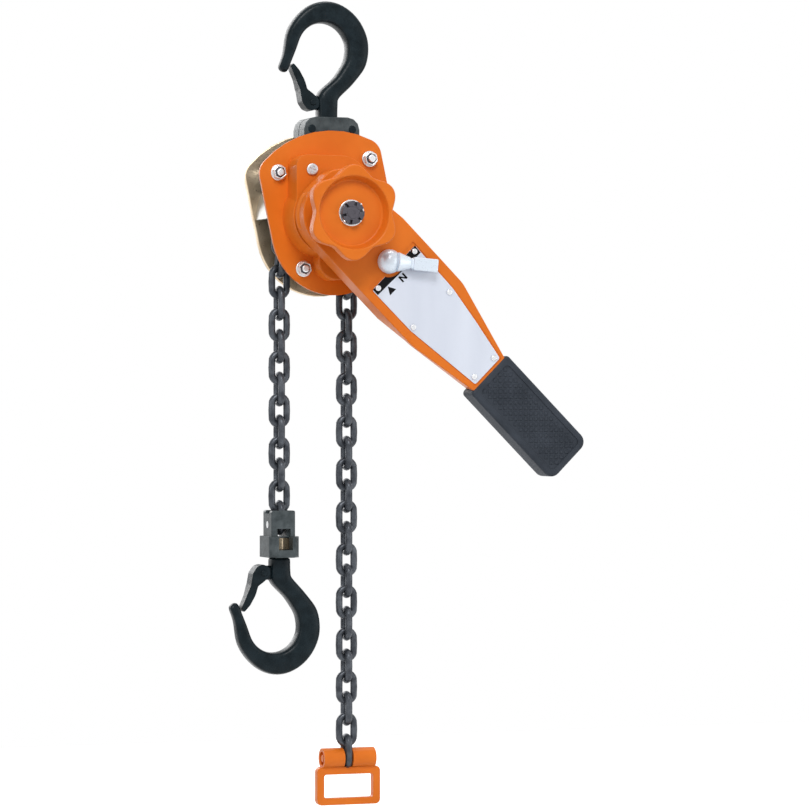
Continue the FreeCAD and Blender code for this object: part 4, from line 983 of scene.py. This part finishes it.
# %% Plate rivets
RIVET_PLACES = ((62.6, -18.6), (63.4, 23.6), (106.8, 22.0), (105.1, -19.4), (170.3, 11.8), (169.1, -10.4))
heads = []
for along, across in RIVET_PLACES:
    head = rod(1.6, 2.4, PLATE_FRONT - 0.6, 24)
    soften(head, 0.8, 4, 40)
    heads.append(place(head, at=spot(along, across)))
rivets = join(heads)
place(rivets, LEVER_TURN)
hand_over(rivets, "plate_rivets", "lever", "bright_zinc")

# %% [markdown]
# ## Grip
# The rubber sleeve has soft corners and, on each face, a sunk panel covered with small diamonds.
# One diamond is a four-sided cone without its tip, copied row by row over the panel.

# %% Rubber sleeve
GRIP_FROM = 176.0
GRIP_TO = 275.0
GRIP_HALF = 22.0
GRIP_MIDDLE = -58.0
GRIP_DEPTH = 11.5
PANEL_EDGE = 5.4
PANEL_DEPTH = 0.9
grip_length = GRIP_TO - GRIP_FROM
grip_centre = (GRIP_FROM + GRIP_TO) / 2
grip = box((grip_centre, GRIP_MIDDLE, 0.0), (grip_length, 2 * GRIP_DEPTH, 2 * GRIP_HALF))
round_edges(grip, lambda m: abs(m.y - GRIP_MIDDLE) < 1.0 and m.x > grip_centre, 8.0, 7)
round_edges(grip, lambda m: abs(m.y - GRIP_MIDDLE) < 1.0 and m.x < grip_centre, 3.4, 5)
soften(grip, 2.6, 5, 60)
for side in (-1, 1):
    panel_y = GRIP_MIDDLE + side * GRIP_DEPTH
    panel = box((grip_centre, panel_y, 0.0),
                (grip_length - 2 * PANEL_EDGE, 2 * PANEL_DEPTH, 2 * (GRIP_HALF - PANEL_EDGE)))
    round_edges(panel, lambda m: at_level(m, panel_y), 3.4, 4)
    carve(grip, panel)
soften(grip, 0.3, 2, 60)
place(grip, LEVER_TURN)
hand_over(grip, "grip_sleeve", "lever", "black_rubber", ["grip"])

# %% Diamonds on the grip
DIAMOND = 4.3
DIAMOND_STEP = DIAMOND * 0.72
DIAMOND_DEPTH = 0.9
DIAMOND_SUNK = 0.55
PANEL_HALF = GRIP_HALF - PANEL_EDGE - 1.6
PANEL_FROM = GRIP_FROM + PANEL_EDGE + 0.6
PANEL_TO = GRIP_TO - PANEL_EDGE - 0.6
bpy.ops.mesh.primitive_cone_add(vertices=4, radius1=DIAMOND * 0.62 * MM, radius2=DIAMOND * 0.3 * MM,
                                depth=DIAMOND_DEPTH * MM, rotation=(math.radians(90), 0.0, 0.0))
diamond = bpy.context.object
bpy.ops.object.transform_apply(location=False, rotation=True, scale=False)
studs = []
rows = int((PANEL_TO - PANEL_FROM) / DIAMOND_STEP)
columns = int(PANEL_HALF / DIAMOND_STEP)
for face in (-1, 1):
    for row in range(rows):
        for column in range(-columns, columns + 1):
            if (row + column) % 2:
                continue
            copy = bpy.data.objects.new("diamond", diamond.data.copy())
            turned = Matrix.Translation(spot(PANEL_FROM + (row + 0.5) * DIAMOND_STEP, column * DIAMOND_STEP,
                                             GRIP_MIDDLE + face * (GRIP_DEPTH - DIAMOND_SUNK)))
            if face > 0:
                turned = turned @ Matrix.Rotation(math.pi, 4, "X")
            copy.data.transform(turned)
            bpy.context.scene.collection.objects.link(copy)
            studs.append(copy)
bpy.data.objects.remove(diamond)
pattern = join(studs)
place(pattern, LEVER_TURN)
hand_over(pattern, "grip_diamonds", "lever", "black_rubber", smooth=20)

# %% [markdown]
# ## Change-over knob
# A domed knob on the lever's pawl shaft runs out in a round neck, a groove and a flat arm. It points
# at the marks on the plate.

# %% Knob, neck and arm
KNOB_TURN = 40.0
KNOB_DOME_FROM = -78.0
NECK_DEPTH = -75.2
ARM_DEPTH = -75.4
knob = rod(9.8, 9.7, -73.6, 64)
edit(knob)
pick("EDGE", lambda e, m: m.y < KNOB_DOME_FROM and e.calc_face_angle(0.0) > 1.0)
bpy.ops.mesh.bevel(offset=8.6 * MM, segments=10, affect="EDGES")
leave()
soften(knob, 1.4, 4, 60)
bpy.ops.mesh.primitive_cone_add(vertices=32, radius1=7.8 * MM, radius2=4.6 * MM, depth=10.6 * MM,
                                location=(10.3 * MM, NECK_DEPTH * MM, 0.0),
                                rotation=(0.0, math.radians(90), 0.0))
neck = bpy.context.object
neck.scale = (1.0, 0.7, 1.0)
bpy.ops.object.transform_apply(location=True, rotation=True, scale=True)
soften(neck, 0.8, 3, 40)
arm_pieces = [neck]
for x_from, x_to, deep, high in ((15.2, 18.2, 4.6, 8.2), (17.8, 38.5, 5.6, 10.4)):
    arm_piece = box(((x_from + x_to) / 2, ARM_DEPTH, 0.0), (x_to - x_from, deep, high))
    soften(arm_piece, 1.1, 4, 40)
    arm_pieces.append(arm_piece)
stem = rod(22.0, 4.0, -59.5, 24)
selector = join([knob, stem] + arm_pieces)
place(selector, KNOB_TURN, KNOB_AT)
place(selector, LEVER_TURN)
hand_over(selector, "change_knob", "selector", "bright_zinc", ["selector_lever"], finish_name="knob_zinc")

# %% [markdown]
# ## Tail ring
# The slack end carries a split tube on the last link's pin, with a flat frame that keeps the chain
# from running out and parks the slack end. The tube is a cylinder with a slot cut for the link.

# %% Tube and frame
TAIL_X = 22.2
TAIL_Z = -589.472
TUBE_LENGTH = 44.0


def tail_bar(length, radius, x, corners):
    """A bar along X on the tail pin's axis whose middle is at x, in mm."""
    bpy.ops.mesh.primitive_cylinder_add(vertices=corners, radius=radius * MM, depth=length * MM,
                                        location=(x * MM, 0.0, TAIL_Z * MM),
                                        rotation=(0.0, math.radians(90), 0.0))
    bpy.ops.object.transform_apply(location=True, rotation=True, scale=True)
    return bpy.context.object


tail_tube = tail_bar(TUBE_LENGTH, 8.2, TAIL_X, 64)
ring = box((TAIL_X, 0.0, TAIL_Z - 22.1), (53.4, 6.4, 30.6))
round_edges(ring, lambda m: abs(m.y) < 0.5, 4.0, 5)
window = box((TAIL_X, 0.0, TAIL_Z - 22.4), (41.6, 20.0, 19.0))
round_edges(window, lambda m: abs(m.y) < 0.5, 2.0, 4)
carve(ring, window)
carve(tail_tube, ring, "UNION")
carve(tail_tube, box((TAIL_X - 1.0, 0.0, TAIL_Z + 2.2), (7.0, 24.0, 18.0)))
for side in (-1, 1):
    carve(tail_tube, tail_bar(6.0, 5.6, TAIL_X + side * TUBE_LENGTH / 2, 32))
soften(tail_tube, 0.7, 3, 40)
hand_over(tail_tube, "tail_ring_welded", "tail", "orange_enamel", ["tail_ring"])

# %% Write the sizes and finish
low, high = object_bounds()
print("visual box in mm:", [round(v / MM, 1) for v in (high - low)])
